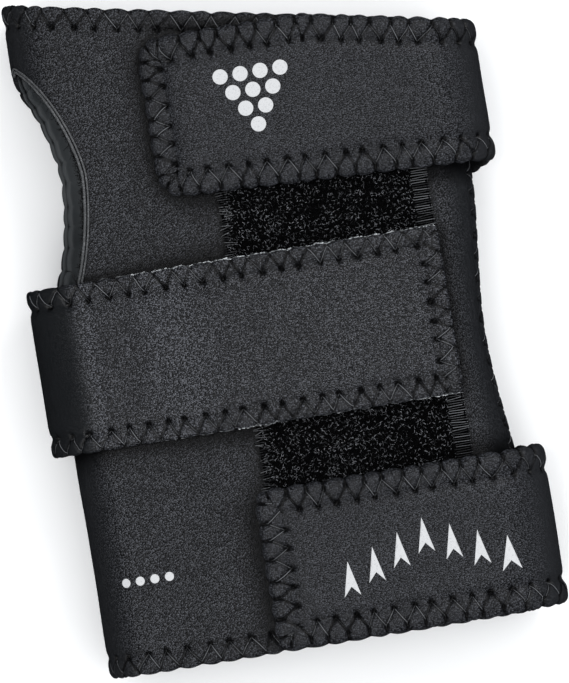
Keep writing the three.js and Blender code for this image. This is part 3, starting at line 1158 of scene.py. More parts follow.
@dataclass(frozen=True)
class Leather:
    """A dyed leather: its colours, with painted highlights on its pebbles and painted shade in its folds,
    stitches and crevices, the size and depth of its grain, and its shine.
    """

    name: str
    colour: Colour
    # Lighter colour mixed onto the pebbles' tops: painted highlights where the grain catches the light.
    wear_and_glint: Colour
    grain: float
    grain_depth: float
    shine: float
    # Colour on the folds: the grain drawn smooth, darkened as painted shade where the leather turns away from
    # the light.
    stretched_and_shaded: Colour = (0.0082, 0.0092, 0.0102)
    # Painted shade colour, put into crevices and along the stitches' crease lines.
    hidden: Colour = (0.0012, 0.0012, 0.0014)
    spark: float = 0.5
    # How much brighter the painted highlight makes the grain where the leather starts to bend towards the
    # thumb side.
    bend_highlight: float = 0.0
    lie: float = 0.0
    stretch: float = 1.4
    drift: float = 1.2
    fold_shade_share: float = 0.95
    # Painted shade in crevices: how dark it gets, how far the ambient occlusion looks, and the occlusion at
    # which it is full.
    crevice_shade: float = 0.95
    crevice: float = 8.0
    crevice_full: float = 0.58
    pucker_depth: float = 0.14
    rough: float = 0.42
    creased: bool = True
    zigzag: Zigzag = field(default_factory=Zigzag)

    def crease_shade(self, nodes: Nodes) -> Socket:
        """Painted shade where thread pulls the leather in: along each leg's crease, at its needle holes and
        at its notches.

        Args:
            nodes: The material's nodes.

        Returns:
            A socket that is 1 where the painted shade is deepest in each.
        """
        zigzag = self.zigzag
        half = zigzag.pitch / 2
        inset = nodes.stored("inset")
        phase = nodes.math("SUBTRACT", nodes.math("FRACT", nodes.stored("stitch"), 0.0), 0.5)
        aside = nodes.math("MULTIPLY", nodes.math("ABSOLUTE", phase, 0.0), zigzag.pitch)
        leg = nodes.to_segment(aside, inset, (0.0, zigzag.hole_in), (half, zigzag.notch_in))
        hole = nodes.length(aside, nodes.math("SUBTRACT", inset, zigzag.hole_in + 0.1))
        beyond = nodes.math("MAXIMUM", nodes.math("SUBTRACT", inset, zigzag.notch_in), 0.0)
        notch = nodes.length(nodes.math("SUBTRACT", aside, half), beyond)
        rows = ((leg, 0.12, 0.58, 0.85), (hole, 0.25, 0.95, 1.0), (notch, 0.15, 0.55, 0.95))
        shades = [nodes.ramp(away, deep, gone, (dark, 0.0)) for away, deep, gone, dark in rows]
        return nodes.math("MAXIMUM", *shades)

    def pebbles(self, nodes: Nodes, place: Socket) -> bpy.types.Node:
        """The grain's cells, drawn out one way and not quite even.

        Args:
            nodes: The material's nodes.
            place: Where a point lies, in millimetres.

        Returns:
            The cells' texture node.
        """
        drift = nodes.noise(place, Scale=0.5, Detail=2.0, Roughness=0.6).outputs["Color"]
        bent = nodes.add("VectorMath", operation="MULTIPLY_ADD", Vector=drift)
        nodes.feed(bent.inputs[1], (self.drift, self.drift, self.drift))
        nodes.feed(bent.inputs[2], place)
        size = (self.grain * self.stretch, self.grain, self.grain)
        turned = nodes.add("Mapping", vector_type="TEXTURE", Vector=bent.outputs[0], Scale=size)
        nodes.feed(turned.inputs["Rotation"], (0, 0, math.radians(self.lie)))
        dimensions = "2D" if self.creased else "3D"
        return nodes.add("TexVoronoi", voronoi_dimensions=dimensions, Scale=1.0, Vector=turned.outputs[0])

    def material(self) -> bpy.types.Material:
        """Makes the material.

        Returns:
            The material: pebbles with painted highlights on their tops, puckers near its edges, and painted
                shade in its folds, along each stitch's crease and in its crevices.
        """
        nodes = Nodes(self.name)
        place = nodes.flat_place() if self.creased else nodes.coordinates()
        pebble = self.pebbles(nodes, place)
        from_middle = pebble.outputs["Distance"]
        each = nodes.add("SeparateColor", Color=pebble.outputs["Color"]).outputs
        fold = nodes.stored("fold")
        flat = nodes.math("SUBTRACT", 1.0, fold)
        height = nodes.math("SUBTRACT", nodes.math("MULTIPLY", each[1], 0.5), from_middle)
        grain = nodes.bump(nodes.math("MULTIPLY", height, nodes.math("MAXIMUM", flat, 0.1)), self.grain_depth)
        pucker = nodes.noise(place, Scale=0.6, Detail=3.0, Roughness=0.6, Distortion=0.5).outputs["Fac"]
        gathered = nodes.math("MULTIPLY", pucker, nodes.math("MULTIPLY", nodes.stored("rim"), flat))
        # The pebbles' tops are painted lighter, each at a random strength: painted highlights on the grain.
        raised = nodes.ramp(from_middle, 0.08, 0.62, (1.0, 0.0))
        lit = nodes.ramp(each[0], 0.2, 1.0, (1 - self.spark, 1.0))
        tone = nodes.noise(place, Scale=0.05, Detail=2.0, Roughness=0.5).outputs["Fac"]
        # Random tone, with a painted highlight where the leather starts to bend towards the thumb side.
        bend = nodes.math("ADD", 1.0, nodes.math("MULTIPLY", nodes.stored("bend"), self.bend_highlight))
        uneven = nodes.math("MULTIPLY", nodes.ramp(tone, 0.3, 0.7, (0.92, 1.08)), bend)
        shown = nodes.mix(nodes.math("MULTIPLY", raised, lit, uneven), self.colour, self.wear_and_glint)
        # Painted shade on the folds: the colour darkens and the painted pebble highlights fade as the leather
        # turns away.
        shown = nodes.mix(nodes.math("MULTIPLY", fold, self.fold_shade_share), shown, self.stretched_and_shaded)
        # Painted shade: ambient occlusion darkens the colour in crevices, beside and under the pieces that
        # lie on it.
        bare = nodes.add("AmbientOcclusion", samples=6, Distance=self.crevice * MM).outputs["AO"]
        shown = nodes.mix(nodes.ramp(bare, self.crevice_full, 0.99, (self.crevice_shade, 0.0)), shown, self.hidden)
        # Painted shade along each stitch's crease lines, needle holes and notches.
        if self.creased:
            shown = nodes.mix(self.crease_shade(nodes), shown, self.hidden)
        return nodes.finish(
            Base_Color=shown, Normal=nodes.bump(gathered, self.pucker_depth, Normal=grain),
            Roughness=nodes.ramp(each[2], 0.0, 1.0, (self.rough + 0.1, self.rough - 0.06)),
            Specular_IOR_Level=self.shine,
        )


@dataclass(frozen=True)
class Fibre:
    """Thread, pile or tape: its colours, its shine and how rough its strands are."""

    name: str
    dark: Colour
    light: Colour
    rough: float = 0.45
    shine: float = 0.5
    twist: float = 3.0
    relief: float = 0.05
    lit: Pair = (0.2, 0.9)
    mottle: float = 1.3
    spread: float = 0.5

    def material(self) -> bpy.types.Material:
        """Makes the material.

        Returns:
            The material, mottled from strand to strand.
        """
        nodes = Nodes(self.name)
        place = nodes.coordinates()
        mottle = nodes.noise(place, Scale=self.mottle, Detail=2.0, Roughness=0.6).outputs["Fac"]
        spread = nodes.math("MULTIPLY", nodes.math("SUBTRACT", mottle, 0.5), self.spread)
        share = nodes.ramp(nodes.math("ADD", nodes.stored("tone"), spread), *self.lit, (0.0, 1.0))
        strand = nodes.noise(place, Scale=self.twist, Detail=1.0).outputs["Fac"]
        return nodes.finish(
            Base_Color=nodes.mix(share, self.dark, self.light), Normal=nodes.bump(strand, self.relief),
            Roughness=nodes.ramp(strand, 0.3, 0.7, (self.rough - 0.06, self.rough + 0.08)),
            Specular_IOR_Level=self.shine,
        )


@dataclass(frozen=True)
class Ink:
    """Opaque ink printed on the leather, with the grain showing through it."""

    name: str = "white_ink"
    colour: Colour = (0.48, 0.485, 0.495)
    thin: Colour = (0.38, 0.385, 0.395)

    def material(self) -> bpy.types.Material:
        """Makes the material.

        Returns:
            The material, with thin spots in the ink.
        """
        nodes = Nodes(self.name)
        grain = nodes.noise(nodes.coordinates(), Scale=2.2, Detail=3.0).outputs["Fac"]
        thin = nodes.ramp(grain, 0.5, 0.72, (0.0, 1.0))
        colour = nodes.mix(thin, self.colour, self.thin)
        return nodes.finish(Base_Color=colour, Normal=nodes.bump(grain, 0.04), Roughness=0.6)


class Palette:
    """The glove's finishes, each made once."""

    def __init__(self) -> None:
        """Makes every material."""
        # Each leather's second colour is the painted highlight on its pebbles' tops.
        self.body = Leather(
            "pebbled_leather", (0.0016, 0.0017, 0.0022), (0.076, 0.08, 0.0925), grain=0.32, grain_depth=0.08,
            shine=0.4, stretched_and_shaded=(0.0075, 0.0082, 0.0095), lie=-35, spark=0.75, crevice_full=0.68,
            fold_shade_share=0.8, zigzag=BODY_STITCH,
        ).material()
        self.tab = Leather(
            "tab_leather", (0.0034, 0.0036, 0.0044), (0.065, 0.0685, 0.08), grain=0.3, grain_depth=0.06,
            shine=0.4, stretched_and_shaded=(0.0105, 0.0112, 0.0128), spark=0.7, fold_shade_share=0.85, zigzag=TAB_STITCH,
        ).material()
        # The strap's grain gets a painted highlight where it starts to turn down towards the thumb side.
        self.strap = Leather(
            "strap_leather", (0.003, 0.0032, 0.004), (0.092, 0.0963, 0.1114), grain=0.31, grain_depth=0.09,
            shine=0.55, stretched_and_shaded=(0.0055, 0.0063, 0.0073), lie=10, stretch=1.2, rough=0.38, spark=0.9,
            bend_highlight=0.9, zigzag=STRAP_STITCH,
        ).material()
        # The piping is given lighter colours than the shell's leather: a painted highlight along the roll.
        self.piping = Leather(
            "lit_piping_leather", (0.05, 0.052, 0.055), (0.13, 0.134, 0.141), grain=0.5, grain_depth=0.03,
            shine=0.6, crevice_shade=0.0, creased=False,
        ).material()
        self.lining = Leather(
            "smooth_lining", (0.045, 0.05, 0.054), (0.06, 0.066, 0.071), grain=1.4, grain_depth=0.02,
            shine=0.45, stretched_and_shaded=(0.045, 0.05, 0.054), pucker_depth=0.05, rough=0.5, crevice_shade=0.5,
            creased=False,
        ).material()
        # The thread's light colour is the painted highlight on its top legs.
        self.thread = Fibre("thread", (0.002, 0.002, 0.0024), (0.12, 0.125, 0.135), rough=0.35).material()
        self.pile = Fibre(
            "loop_pile", (0.0004, 0.0004, 0.0006), (0.36, 0.37, 0.4), rough=0.6, shine=0.1, lit=(0.68, 1.2),
            mottle=7.0, spread=2.0,
        ).material()
        self.tape = Fibre(
            "woven_tape", (0.01, 0.0105, 0.012), (0.12, 0.124, 0.132), rough=0.5, mottle=2.5, spread=1.0,
        ).material()
        self.hook = Fibre("hook_tape", (0.006, 0.006, 0.0065), (0.02, 0.02, 0.022), rough=0.6).material()
        # The cut edge's leather is pale, and part of its brightness is a painted highlight.
        self.lit_cut_edge = Fibre(
            "lit_cut_edge", (0.05, 0.053, 0.057), (0.5, 0.52, 0.54), rough=0.7, relief=0.15,
        ).material()
        self.fuzz = Fibre("raw_edge", (0.002, 0.002, 0.0023), (0.012, 0.012, 0.013), rough=0.8).material()
        self.ink = Ink().material()


def arc(centre: Pair, size: Pair, start: float, end: float) -> Array:
    """Points of an oval's stretch between two angles in degrees, with x and z in their columns."""
    angle = np.radians(np.linspace(start, end, 240))
    return np.stack([centre[0] + size[0] * np.cos(angle), centre[1] + size[1] * np.sin(angle)], axis=1)


def over_the_back(sizes: GloveSizes, start: float, end: float, sag_run: float) -> Array:
    """A strap's inner face over the back's layers, from one place across the glove to another."""
    x = np.linspace(start, end, 400)
    return np.stack([x, sizes.flap_top(x) + sizes.lift_over(x, sag_run)], axis=1)


def dress(piece: bpy.types.Object, node: str) -> bpy.types.Object:
    """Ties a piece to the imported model.

    Args:
        piece: The piece.
        node: The node it stands for, or an empty text.

    Returns:
        The piece.
    """
    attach(piece, "root")
    if node:
        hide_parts(node)
    LOG.info("%s: %d faces", piece.name, len(piece.data.polygons))
    return piece


@dataclass
class Body:
    """The folded body: its leather and foam, its lining, and the thumb hole's piping."""

    sizes: GloveSizes
    palette: Palette
    piping: float = 0.36
    welt: float = 0.26
    roll_ends_in: float = 3.0
    tufts: int = 1500
    tuft: float = 0.07
    tuft_inset: Pair = (-1.0, -0.35)
    tuft_height: Pair = (-2.6, -1.3)
    tuft_reach: tuple[float, float, float] = (0.5, 0.5, 0.4)
    tuft_bend: float = 0.3
    corner: float = 3.0
    lining_strand: float = 0.17
    palm_rim: float = 0.5
    lining_back_off: float = 0.4
    hole_stitches_shown: int = 3

    def section(self) -> Section:
        """Lays out the body's outer face across the glove.

        Returns:
            The section from the flap's edge round the thumb side to the palm's edge.
        """
        z = self.sizes
        middle = z.middle_height
        x = np.linspace(z.flap_fold_x, z.thumb_fold_x, 400)[1:-1]
        palm = np.linspace(z.thumb_fold_x, z.palm_edge_x, 300)[1:]
        return Section.through([
            arc((z.flap_fold_x, middle), (z.flap_fold, middle), 0, 90),
            np.stack([x, z.flap_top(x)], axis=1),
            arc((z.thumb_fold_x, middle), (z.thumb_fold, middle), 90, 270),
            np.stack([palm, np.zeros(len(palm))], axis=1),
        ])

    def hole_edge(self, section: Section, runs: Array, towards_fingers: bool, back_off: float) -> Array:
        """The thumb hole's edge on the flat panel, on one side of where it is deepest.

        Args:
            section: The body's section.
            runs: Distances along the section.
            towards_fingers: Whether it is the side nearer the fingers.
            back_off: How much deeper it is cut.

        Returns:
            The edge's points, one for each run.
        """
        z = self.sizes
        x, height, _, _ = section.at(runs)
        change = np.clip((height - z.middle_height) / z.hole_change + 0.5, 0, 1)
        palm_depth = z.hole_depth_palm - self.palm_rim
        depth = back_off + palm_depth + (z.hole_depth_back - palm_depth) * change
        share = np.clip((x - z.thumb_x + z.hole_centre_out) / (depth + z.hole_centre_out), 0, 1)
        palm, back, power = (
            (z.hole_to_fingers_palm, z.hole_to_fingers_back, z.hole_finger_power) if towards_fingers
            else (z.hole_to_wrist_palm, z.hole_to_wrist_back, z.hole_wrist_power)
        )
        along = (back_off + palm + (back - palm) * change) * (1 - share**power) ** (1 / power)
        return np.stack([runs, z.hole_y + along * (1 if towards_fingers else -1)], axis=1)

    def hole_arc(self, section: Section, back: bool, back_off: float) -> Array:
        """Half of the thumb hole's edge: the part on the back of the hand, or the part on the palm.

        Args:
            section: The body's section.
            back: Whether it is the part on the back.
            back_off: How much deeper the hole is cut.

        Returns:
            The edge's points, from the hole's wrist end to its finger end on the back.
        """
        z = self.sizes
        fold = float(section.run[np.argmin(section.points[:, 0])])
        depth = back_off + (z.hole_depth_back if back else z.hole_depth_palm - self.palm_rim)
        stretch = (0.0, fold) if back else (fold, section.length)
        deepest = float(section.run_at_x(np.array(z.thumb_x + depth), *stretch))
        runs = deepest + (fold - deepest) * np.linspace(0, 1, 300) ** 2
        wrist_half = self.hole_edge(section, runs[::-1], False, back_off)
        finger_half = self.hole_edge(section, runs, True, back_off)
        line = np.concatenate([wrist_half, finger_half[1:]])
        return line if back else line[::-1]

    def loops(self, section: Section, back_off: float = 0.0) -> list[list[Hem]]:
        """The flat panel's edges.

        Args:
            section: The body's section.
            back_off: How much deeper the thumb hole is cut.

        Returns:
            The outline's hems and the thumb hole's.
        """
        z = self.sizes
        runs = np.linspace(section.length, 0, 300)
        front = np.stack([runs, z.front_y(section.at(runs)[0])], axis=1)
        start = np.array([0.0, float(front[-1, 1])])
        corners = [front[-12], start, (0, z.wrist_y), (section.length, z.wrist_y)]
        rounded = round_corners(corners, [0, self.corner, self.corner, 0])
        outline = np.concatenate([front[:-12], rounded])
        seam = np.array([[section.length, z.wrist_y], front[0]])
        back = self.hole_arc(section, True, back_off)
        palm = self.hole_arc(section, False, back_off)
        return [
            [Hem(outline, EdgeFinish.ZIGZAG, BODY_STITCH.pitch), Hem(seam, EdgeFinish.BUTT)],
            [Hem(back, EdgeFinish.TURNED), Hem(palm, EdgeFinish.ZIGZAG, BODY_STITCH.pitch)],
        ]

    def build(self) -> Panel:
        """Makes the body's pieces.

        Returns:
            The shell's panel.
        """
        z = self.sizes
        section = self.section()
        common = dict(section=section, shift=z.pinch, lift=z.bed_lift, spacing=1.9)
        shell = Panel(
            "shell", loops=self.loops(section), wall=z.shell_wall, depth=-z.shell_wall,
            zigzag=BODY_STITCH, rim_puff=0.15, channel=0.4, middle=0.4, turn=(18.0, 50.0), **common,
        )
        palette = self.palette
        dress(shell.build([palette.body, palette.lining]), "body_shell")
        wall = z.lay_gap + z.lining_wall
        lining = Panel(
            "lining", loops=self.loops(section, self.lining_back_off), wall=wall, depth=-z.shell_wall - wall,
            zigzag=LINING_STITCH, rim_puff=0.0, channel=0.0, middle=0.95, round_over=1.3, edge_step=0.55,
            ripple=0.03, **common,
        )
        dress(lining.build([palette.fuzz, palette.lining]), "body_lining")
        dress(Seam(shell).build(palette.thread), "")
        self.lining_thread(lining)
        self.build_piping(shell)
        return shell

    def lining_thread(self, lining: Panel) -> None:
        """Adds the zigzag's thread on the lining's side.

        Args:
            lining: The lining's panel.
        """
        strands = Strands("lining_thread", self.lining_strand)
        seam = Seam(lining)
        for k, hem in enumerate(lining.hems):
            if hem.finish is EdgeFinish.ZIGZAG:
                lines, normals, tone = seam.legs(k, Side.INNER)
                shown = slice(-self.hole_stitches_shown, None) if k else slice(None)
                strands.add(lines[shown], normals[shown], tone=tone[shown])
        dress(strands.build(self.palette.thread), "")

    def build_piping(self, shell: Panel) -> None:
        """Makes the turned roll round the thumb hole and the raw foam inside it.

        Args:
            shell: The shell's panel.
        """
        hem = next(hem for hem in shell.hems if hem.finish is EdgeFinish.TURNED)
        low, high = self.roll_ends_in, hem.run[-1] - self.roll_ends_in
        runs = np.linspace(low, high, 260)
        roll = Strands("thumb_roll", self.piping, sides=12)
        for inset, drop, radius in ((-0.1, 0.35, self.piping), (0.75, 0.12, self.welt)):
            flat = hem.at(runs, np.full(len(runs), inset))
            line = shell.place(flat, np.full(len(runs), -drop))
            out = shell.place(flat, np.full(len(runs), 1.0)) - line
            roll.add(line[None], out[None], radius)
        dress(roll.build(self.palette.piping), "thumb_piping")
        rng = np.random.default_rng(7)
        count = self.tufts
        places = rng.uniform(low, high, count)
        flat = hem.at(places, rng.uniform(*self.tuft_inset, count))
        base = shell.place(flat, rng.uniform(*self.tuft_height, count))
        tuft = Strands("thumb_hole_foam", self.tuft, sides=3)
        reach = rng.normal(0, 1, (count, 3)) * self.tuft_reach
        bend = rng.normal(0, 1, (count, 3)) * self.tuft_bend
        steps = np.linspace(0, 1, 4)[None, :, None]
        lines = base[:, None, :] + reach[:, None, :] * steps + bend[:, None, :] * steps**2
        tuft.add(lines, np.broadcast_to(rng.normal(0, 1, (count, 1, 3)), lines.shape))
        dress(tuft.build(self.palette.fuzz), "")


@dataclass
class Tab:
    """A padded tab sewn to the palm's edge and folded over the back."""

    name: str
    node: str
    sizes: GloveSizes
    palette: Palette
    end_x: float
    corner: float
    low: Callable[[Array, Array], Array]
    high: Callable[[Array, Array], Array]

    def section(self) -> Section:
        """Lays out the tab's inner face across the glove.

        Returns:
            The section from the palm's edge to the tab's free end.
        """
        z = self.sizes
        back = over_the_back(z, z.tab_fold_x, self.end_x, z.tab_sag_run)
        rise = (back[0, 1] - z.tab_wall) / 2
        fold = arc((z.tab_fold_x, z.tab_wall + rise), (z.tab_fold, rise), -90, 90)
        return Section.through([fold, back[1:]])

    def build(self) -> Panel:
        """Makes the tab and its thread.

        Returns:
            The tab's panel.
        """
        section = self.section()
        runs = np.linspace(0, section.length, 400)
        x, z, _, _ = section.at(runs)
        low = np.stack([runs, self.low(x, z)], axis=1)
        high = np.stack([runs, self.high(x, z)], axis=1)[::-1]
        cut = runs > section.length - self.corner - 2
        ends = [low[~cut][-1], low[-1], high[0], high[cut.sum()]]
        rounded = round_corners(ends, [0, self.corner, self.corner, 0])
        outline = np.concatenate([low[~cut][:-1], rounded, high[cut.sum() + 1:]])
        loop = [Hem(outline, EdgeFinish.ZIGZAG), Hem(np.array([high[-1], low[0]]), EdgeFinish.BUTT)]
        panel = Panel(
            self.name, section, [loop], self.sizes.tab_wall, zigzag=TAB_STITCH, spacing=1.3, edge_step=0.3,
            rim_puff=0.4, channel=0.6, ripple=0.1, turn=(20.0, 62.0),
        )
        dress(panel.build([self.palette.tab, self.palette.hook]), self.node)
        dress(Seam(panel).build(self.palette.thread), "")
        return panel


@dataclass
class WristStrap:
    """The strap that runs under the palm, round the thumb side and over the back."""

    sizes: GloveSizes
    palette: Palette
    lit_cut_edge: float = 0.14

    def section(self) -> Section:
        """Lays out the strap's inner face across the glove.

        Returns:
            The section from the strap's free end to its root under the palm.
        """
        z = self.sizes
        back = over_the_back(z, z.loop_right_x + z.strap_past_loop, z.thumb_fold_x, z.strap_sag_run)
        rise = (back[-1, 1] - z.strap_wall) / 2
        reach = z.width / 2 - z.strap_wall + z.thumb_fold_x
        palm = np.linspace(z.thumb_fold_x, z.palm_edge_x, 300)[1:]
        return Section.through([
            back,
            arc((z.thumb_fold_x, z.strap_wall + rise), (reach, rise), 90, 270)[1:],
            np.stack([palm, np.full(len(palm), z.strap_wall)], axis=1),
        ])

    def build(self) -> Panel:
        """Makes the strap, its thread and the pale cut edge of its leather, partly brightened as a painted
        highlight.

        Returns:
            The strap's panel.
        """
        z = self.sizes
        section = self.section()
        low, high, end = z.strap_low_y, z.strap_high_y, section.length
        corners = [(end, high), (0, high), (0, low), (end, low)]
        outline = round_corners(corners, [0, z.strap_corner, z.strap_corner, 0])
        loop = [Hem(outline, EdgeFinish.ZIGZAG), Hem(np.array([[end, low], [end, high]]), EdgeFinish.BUTT)]
        panel = Panel(
            "strap", section, [loop], z.strap_wall, zigzag=STRAP_STITCH, turn=(10.0, 27.0), spacing=1.3,
            edge_step=0.33, rim_puff=0.15, channel=0.55, round_over=1.1, middle=0.6, ripple=0.08,
        )
        dress(panel.build([self.palette.strap, self.palette.hook]), "wrist_strap")
        dress(Seam(panel).build(self.palette.thread), "")
        self.build_lit_cut_edge(panel)
        return panel

    def build_lit_cut_edge(self, panel: Panel) -> None:
        """Makes the frayed light line where the leather's pale cut edge shows between the stitches,
        brightened as a painted highlight along the strap's flat top.

        Args:
            panel: The strap's panel.
        """
        hem = panel.hems[0]
        rng = np.random.default_rng(3)
        strands = Strands("strap_lit_cut_edge", self.lit_cut_edge, sides=4)
        runs = np.arange(0.5, hem.run[-1] - 0.5, 0.19)
        middle = hem.at(runs, np.zeros(len(runs)))
        x = panel.section.at(middle[:, 0])[0]
        on_top = middle[:, 0] < panel.section.length / 2
        upper = middle[:, 1] > self.sizes.strap_high_y - 1
        patchy = 0.5 + 0.5 * np.sin(runs / 5.1) * np.sin(runs / 13.7 + 1)
        # Painted highlight: the cut edge is brighter along the strap's flat top and fades towards the
        # thumb-side fold.
        bright = np.where(upper, smooth((x + 46) / 14) * 0.9, 0.85 * smooth((x + 36) / 8) * patchy)
        bright = np.where(on_top & (middle[:, 0] > 1.0), bright, 0)
        for start, share in zip(runs[bright > 0.05], bright[bright > 0.05]):
            if rng.uniform() > 0.2 + 0.6 * share:
                continue
            along = start + np.linspace(0, rng.uniform(0.25, 0.9), 4)
            inset = panel.zigzag.scallop_at(hem.stitch_at(along)) + 0.1 + rng.normal(0, 0.14)
            inset = inset + rng.normal(0, 0.06, 4)
            base = panel.base_height(Side.INNER) + panel.wall * 0.72 + rng.normal(0, 0.12)
            flat = hem.at(np.clip(along, 0, hem.run[-1]), inset)
            line = panel.place(flat, np.full(4, base) + rng.normal(0, 0.06, 4))
            out = panel.place(flat, np.full(4, base + 1)) - line
            tone = np.array([[share * rng.uniform(0.05, 1.1)]])
            strands.add(line[None], out[None], self.lit_cut_edge * rng.uniform(0.35, 1.0), tone)
        dress(strands.build(self.palette.lit_cut_edge), "")


@dataclass
class LoopPatch:
    """The pile patch on the back: woven ground, standing loops and stitched selvages."""

    sizes: GloveSizes
    palette: Palette
    ground: float = 0.55
    loop_height: float = 0.85
    loop_gap: float = 0.52
    loop_strand: float = 0.08
    selvage: float = 4.3
    selvage_pitch: float = 0.6
    selvage_strand: float = 0.095
    tuck: float = 3.0
    scatter: float = 0.25
    half_wide: Pair = (0.18, 0.36)
    uneven_height: Pair = (0.55, 1.15)
    lean: float = 0.2

    def windows(self) -> list[tuple[float, float]]:
        """Finds where the pile shows between the straps.

        Returns:
            Where each window starts and ends along the glove, with a little under the straps.
        """
        z = self.sizes
        return [
            (z.strap_high_y - self.tuck, z.wrist_y + z.top_tab_low + self.tuck),
            (z.wrist_y + z.bottom_tab_low + z.bottom_tab_width - self.tuck, z.strap_low_y + self.tuck),
        ]

    def on_patch(self, x: Array, y: Array, height: Array) -> Array:
        """Points at heights over the flap's outer face, in millimetres."""
        return np.stack([x, y, self.sizes.flap_top(x) + height], axis=-1)

    def build(self) -> None:
        """Makes the ground, the pile and the selvages."""
        z = self.sizes
        x = np.linspace(z.loop_right_x, z.loop_left_x, 300)
        section = Section.through([np.stack([x, z.flap_top(x) + z.lay_gap], axis=1)])
        low, high = z.wrist_y + z.loop_low, z.wrist_y + z.loop_low + z.loop_length
        end = section.length
        front = min(high, float(z.front_y(np.array(z.loop_right_x))) - 7.5)
        corners = np.array([(0, low), (end, low), (end, high), (end * 0.45, high), (0, front), (0, low)])
        hems = [Hem(corners[k:k + 2], EdgeFinish.WOVEN) for k in range(5)]
        ground = Panel("loop_ground", section, [hems], self.ground, spacing=2.0, edge_step=0.8, ripple=0.03)
        dress(ground.build([self.palette.pile, self.palette.pile]), "loop_patch")
        self.build_pile()
        self.build_selvages(low, high)

    def build_pile(self) -> None:
        """Makes the standing loops where they show."""
        z = self.sizes
        rng = np.random.default_rng(11)
        strands = Strands("loop_pile", self.loop_strand, sides=3)
        for low, high in self.windows():
            xs = np.arange(z.loop_left_x + 1.0, z.loop_right_x - self.selvage + 0.4, self.loop_gap)
            ys = np.arange(low, high, self.loop_gap)
            x, y = (grid.ravel() for grid in np.meshgrid(xs, ys))
            x = x + rng.uniform(-self.scatter, self.scatter, len(x))
            y = y + rng.uniform(-self.scatter, self.scatter, len(y))
            turn = rng.uniform(0, math.pi, len(x))
            wide = rng.uniform(*self.half_wide, len(x))
            tall = self.loop_height * rng.uniform(*self.uneven_height, len(x))
            lean = rng.normal(0, self.lean, (len(x), 2))
            swing = np.linspace(-1, 1, 5)[None, :]
            arch = np.sqrt(1 - swing**2 * 0.995)
            px = x[:, None] + np.cos(turn)[:, None] * wide[:, None] * swing + lean[:, :1] * arch
            py = y[:, None] + np.sin(turn)[:, None] * wide[:, None] * swing + lean[:, 1:] * arch
            height = z.lay_gap + self.ground + tall[:, None] * arch
            lines = self.on_patch(px, py, height)
            across = np.stack([-np.sin(turn), np.cos(turn), 0 * turn], axis=1)[:, None, :]
            strands.add(lines, np.broadcast_to(across, lines.shape))
        dress(strands.build(self.palette.pile), "")

    def build_selvages(self, low: float, high: float) -> None:
        """Makes the thread bars along both sides of the patch.

        Args:
            low: Where the patch starts along the glove.
            high: Where it ends.
        """
        z = self.sizes
        rng = np.random.default_rng(5)
        strands = Strands("loop_selvage", self.selvage_strand, sides=4)
        places = np.arange(low + 0.4, high - 14, self.selvage_pitch)
        shares = np.linspace(0, 1, 6)
        count = len(places)
        rows = (
            (z.loop_right_x + 0.35, -self.selvage, 0.1, 0.2, 0.1),
            (z.loop_left_x - 0.6, 2.9, 0.3, 0.45, 0.28),
        )
        for edge_x, reach, uneven_start, uneven_end, askew in rows:
            start = edge_x + rng.normal(0, uneven_start, count)
            ends = start + reach + rng.normal(0, uneven_end, count)
            slant = rng.normal(0, askew, count)
            px = start[:, None] + (ends - start)[:, None] * shares
            py = places[:, None] + slant[:, None] * (shares - 0.5) * 2
            height = z.lay_gap + self.ground + 0.12 + 0.2 * np.sin(np.pi * shares)[None, :]
            edge = np.where((shares == 0)[None, :], z.lay_gap * 0.3, height)
            lines = self.on_patch(px, py, np.broadcast_to(edge, px.shape))
            strands.add(lines, np.broadcast_to(np.array([0.0, 0.0, 1.0]), lines.shape))
        dress(strands.build(self.palette.tape), "")


@dataclass
class Print:
    """Flat shapes of ink that follow a panel's outer face."""

    name: str
    panel: Panel
    ink: bpy.types.Material
    stand: float = 0.03
    step: float = 0.45
    points: list[Array] = field(default_factory=list)
    faces: list[Array] = field(default_factory=list)
    count: int = 0

    def shape(self, outline: Array) -> None:
        """Adds one filled shape.

        Args:
            outline: Its points on the flat panel, in order round it.
        """
        ring = follow(np.concatenate([outline, outline[:1]]), self.step)[:-1]
        low, high = ring.min(axis=0), ring.max(axis=0)
        s, y = np.meshgrid(np.arange(low[0], high[0], self.step), np.arange(low[1], high[1], self.step))
        grid = np.stack([s.ravel(), y.ravel()], axis=1)
        keep = self.inside(grid, ring, self.step / 2)
        flat = np.concatenate([ring, grid[keep]])
        pairs = [(k, (k + 1) % len(ring)) for k in range(len(ring))]
        coords, _, faces, *_ = delaunay_2d_cdt([Vector(p) for p in flat], pairs, [], 1, 1e-6, False)
        flat = np.array([tuple(p) for p in coords])
        faces = np.array(faces)
        faces = faces[self.inside(flat[faces].mean(axis=1), ring, 0.0)]
        height = self.panel.surface(flat, *self.panel.nearest(flat))
        self.points.append(self.panel.place(flat, height + self.stand))
        self.faces.append(faces[:, ::-1] + self.count)
        self.count += len(flat)

    def inside(self, points: Array, ring: Array, clear: float) -> Array:
        """Which points lie inside a ring.

        Args:
            points: The points.
            ring: The ring's points in order.
            clear: How far from the ring they must be.

        Returns:
            True for each that is inside and that far from it.
        """
        after = np.roll(ring, -1, axis=0)
        px, py = points[:, :1], points[:, 1:]
        crosses = (ring[:, 1] > py) != (after[:, 1] > py)
        rise = np.where(after[:, 1] == ring[:, 1], 1e-9, after[:, 1] - ring[:, 1])
        at = ring[:, 0] + (py - ring[:, 1]) * (after[:, 0] - ring[:, 0]) / rise
        odd = (crosses & (px < at)).sum(axis=1) % 2 == 1
        near = np.hypot(px - ring[:, 0], py - ring[:, 1]).min(axis=1)
        return odd & (near >= clear)

    def build(self) -> None:
        """Makes the printed marks' object."""
        piece = make_object(self.name, np.concatenate(self.points), np.concatenate(self.faces), [self.ink])
        dress(piece, "")


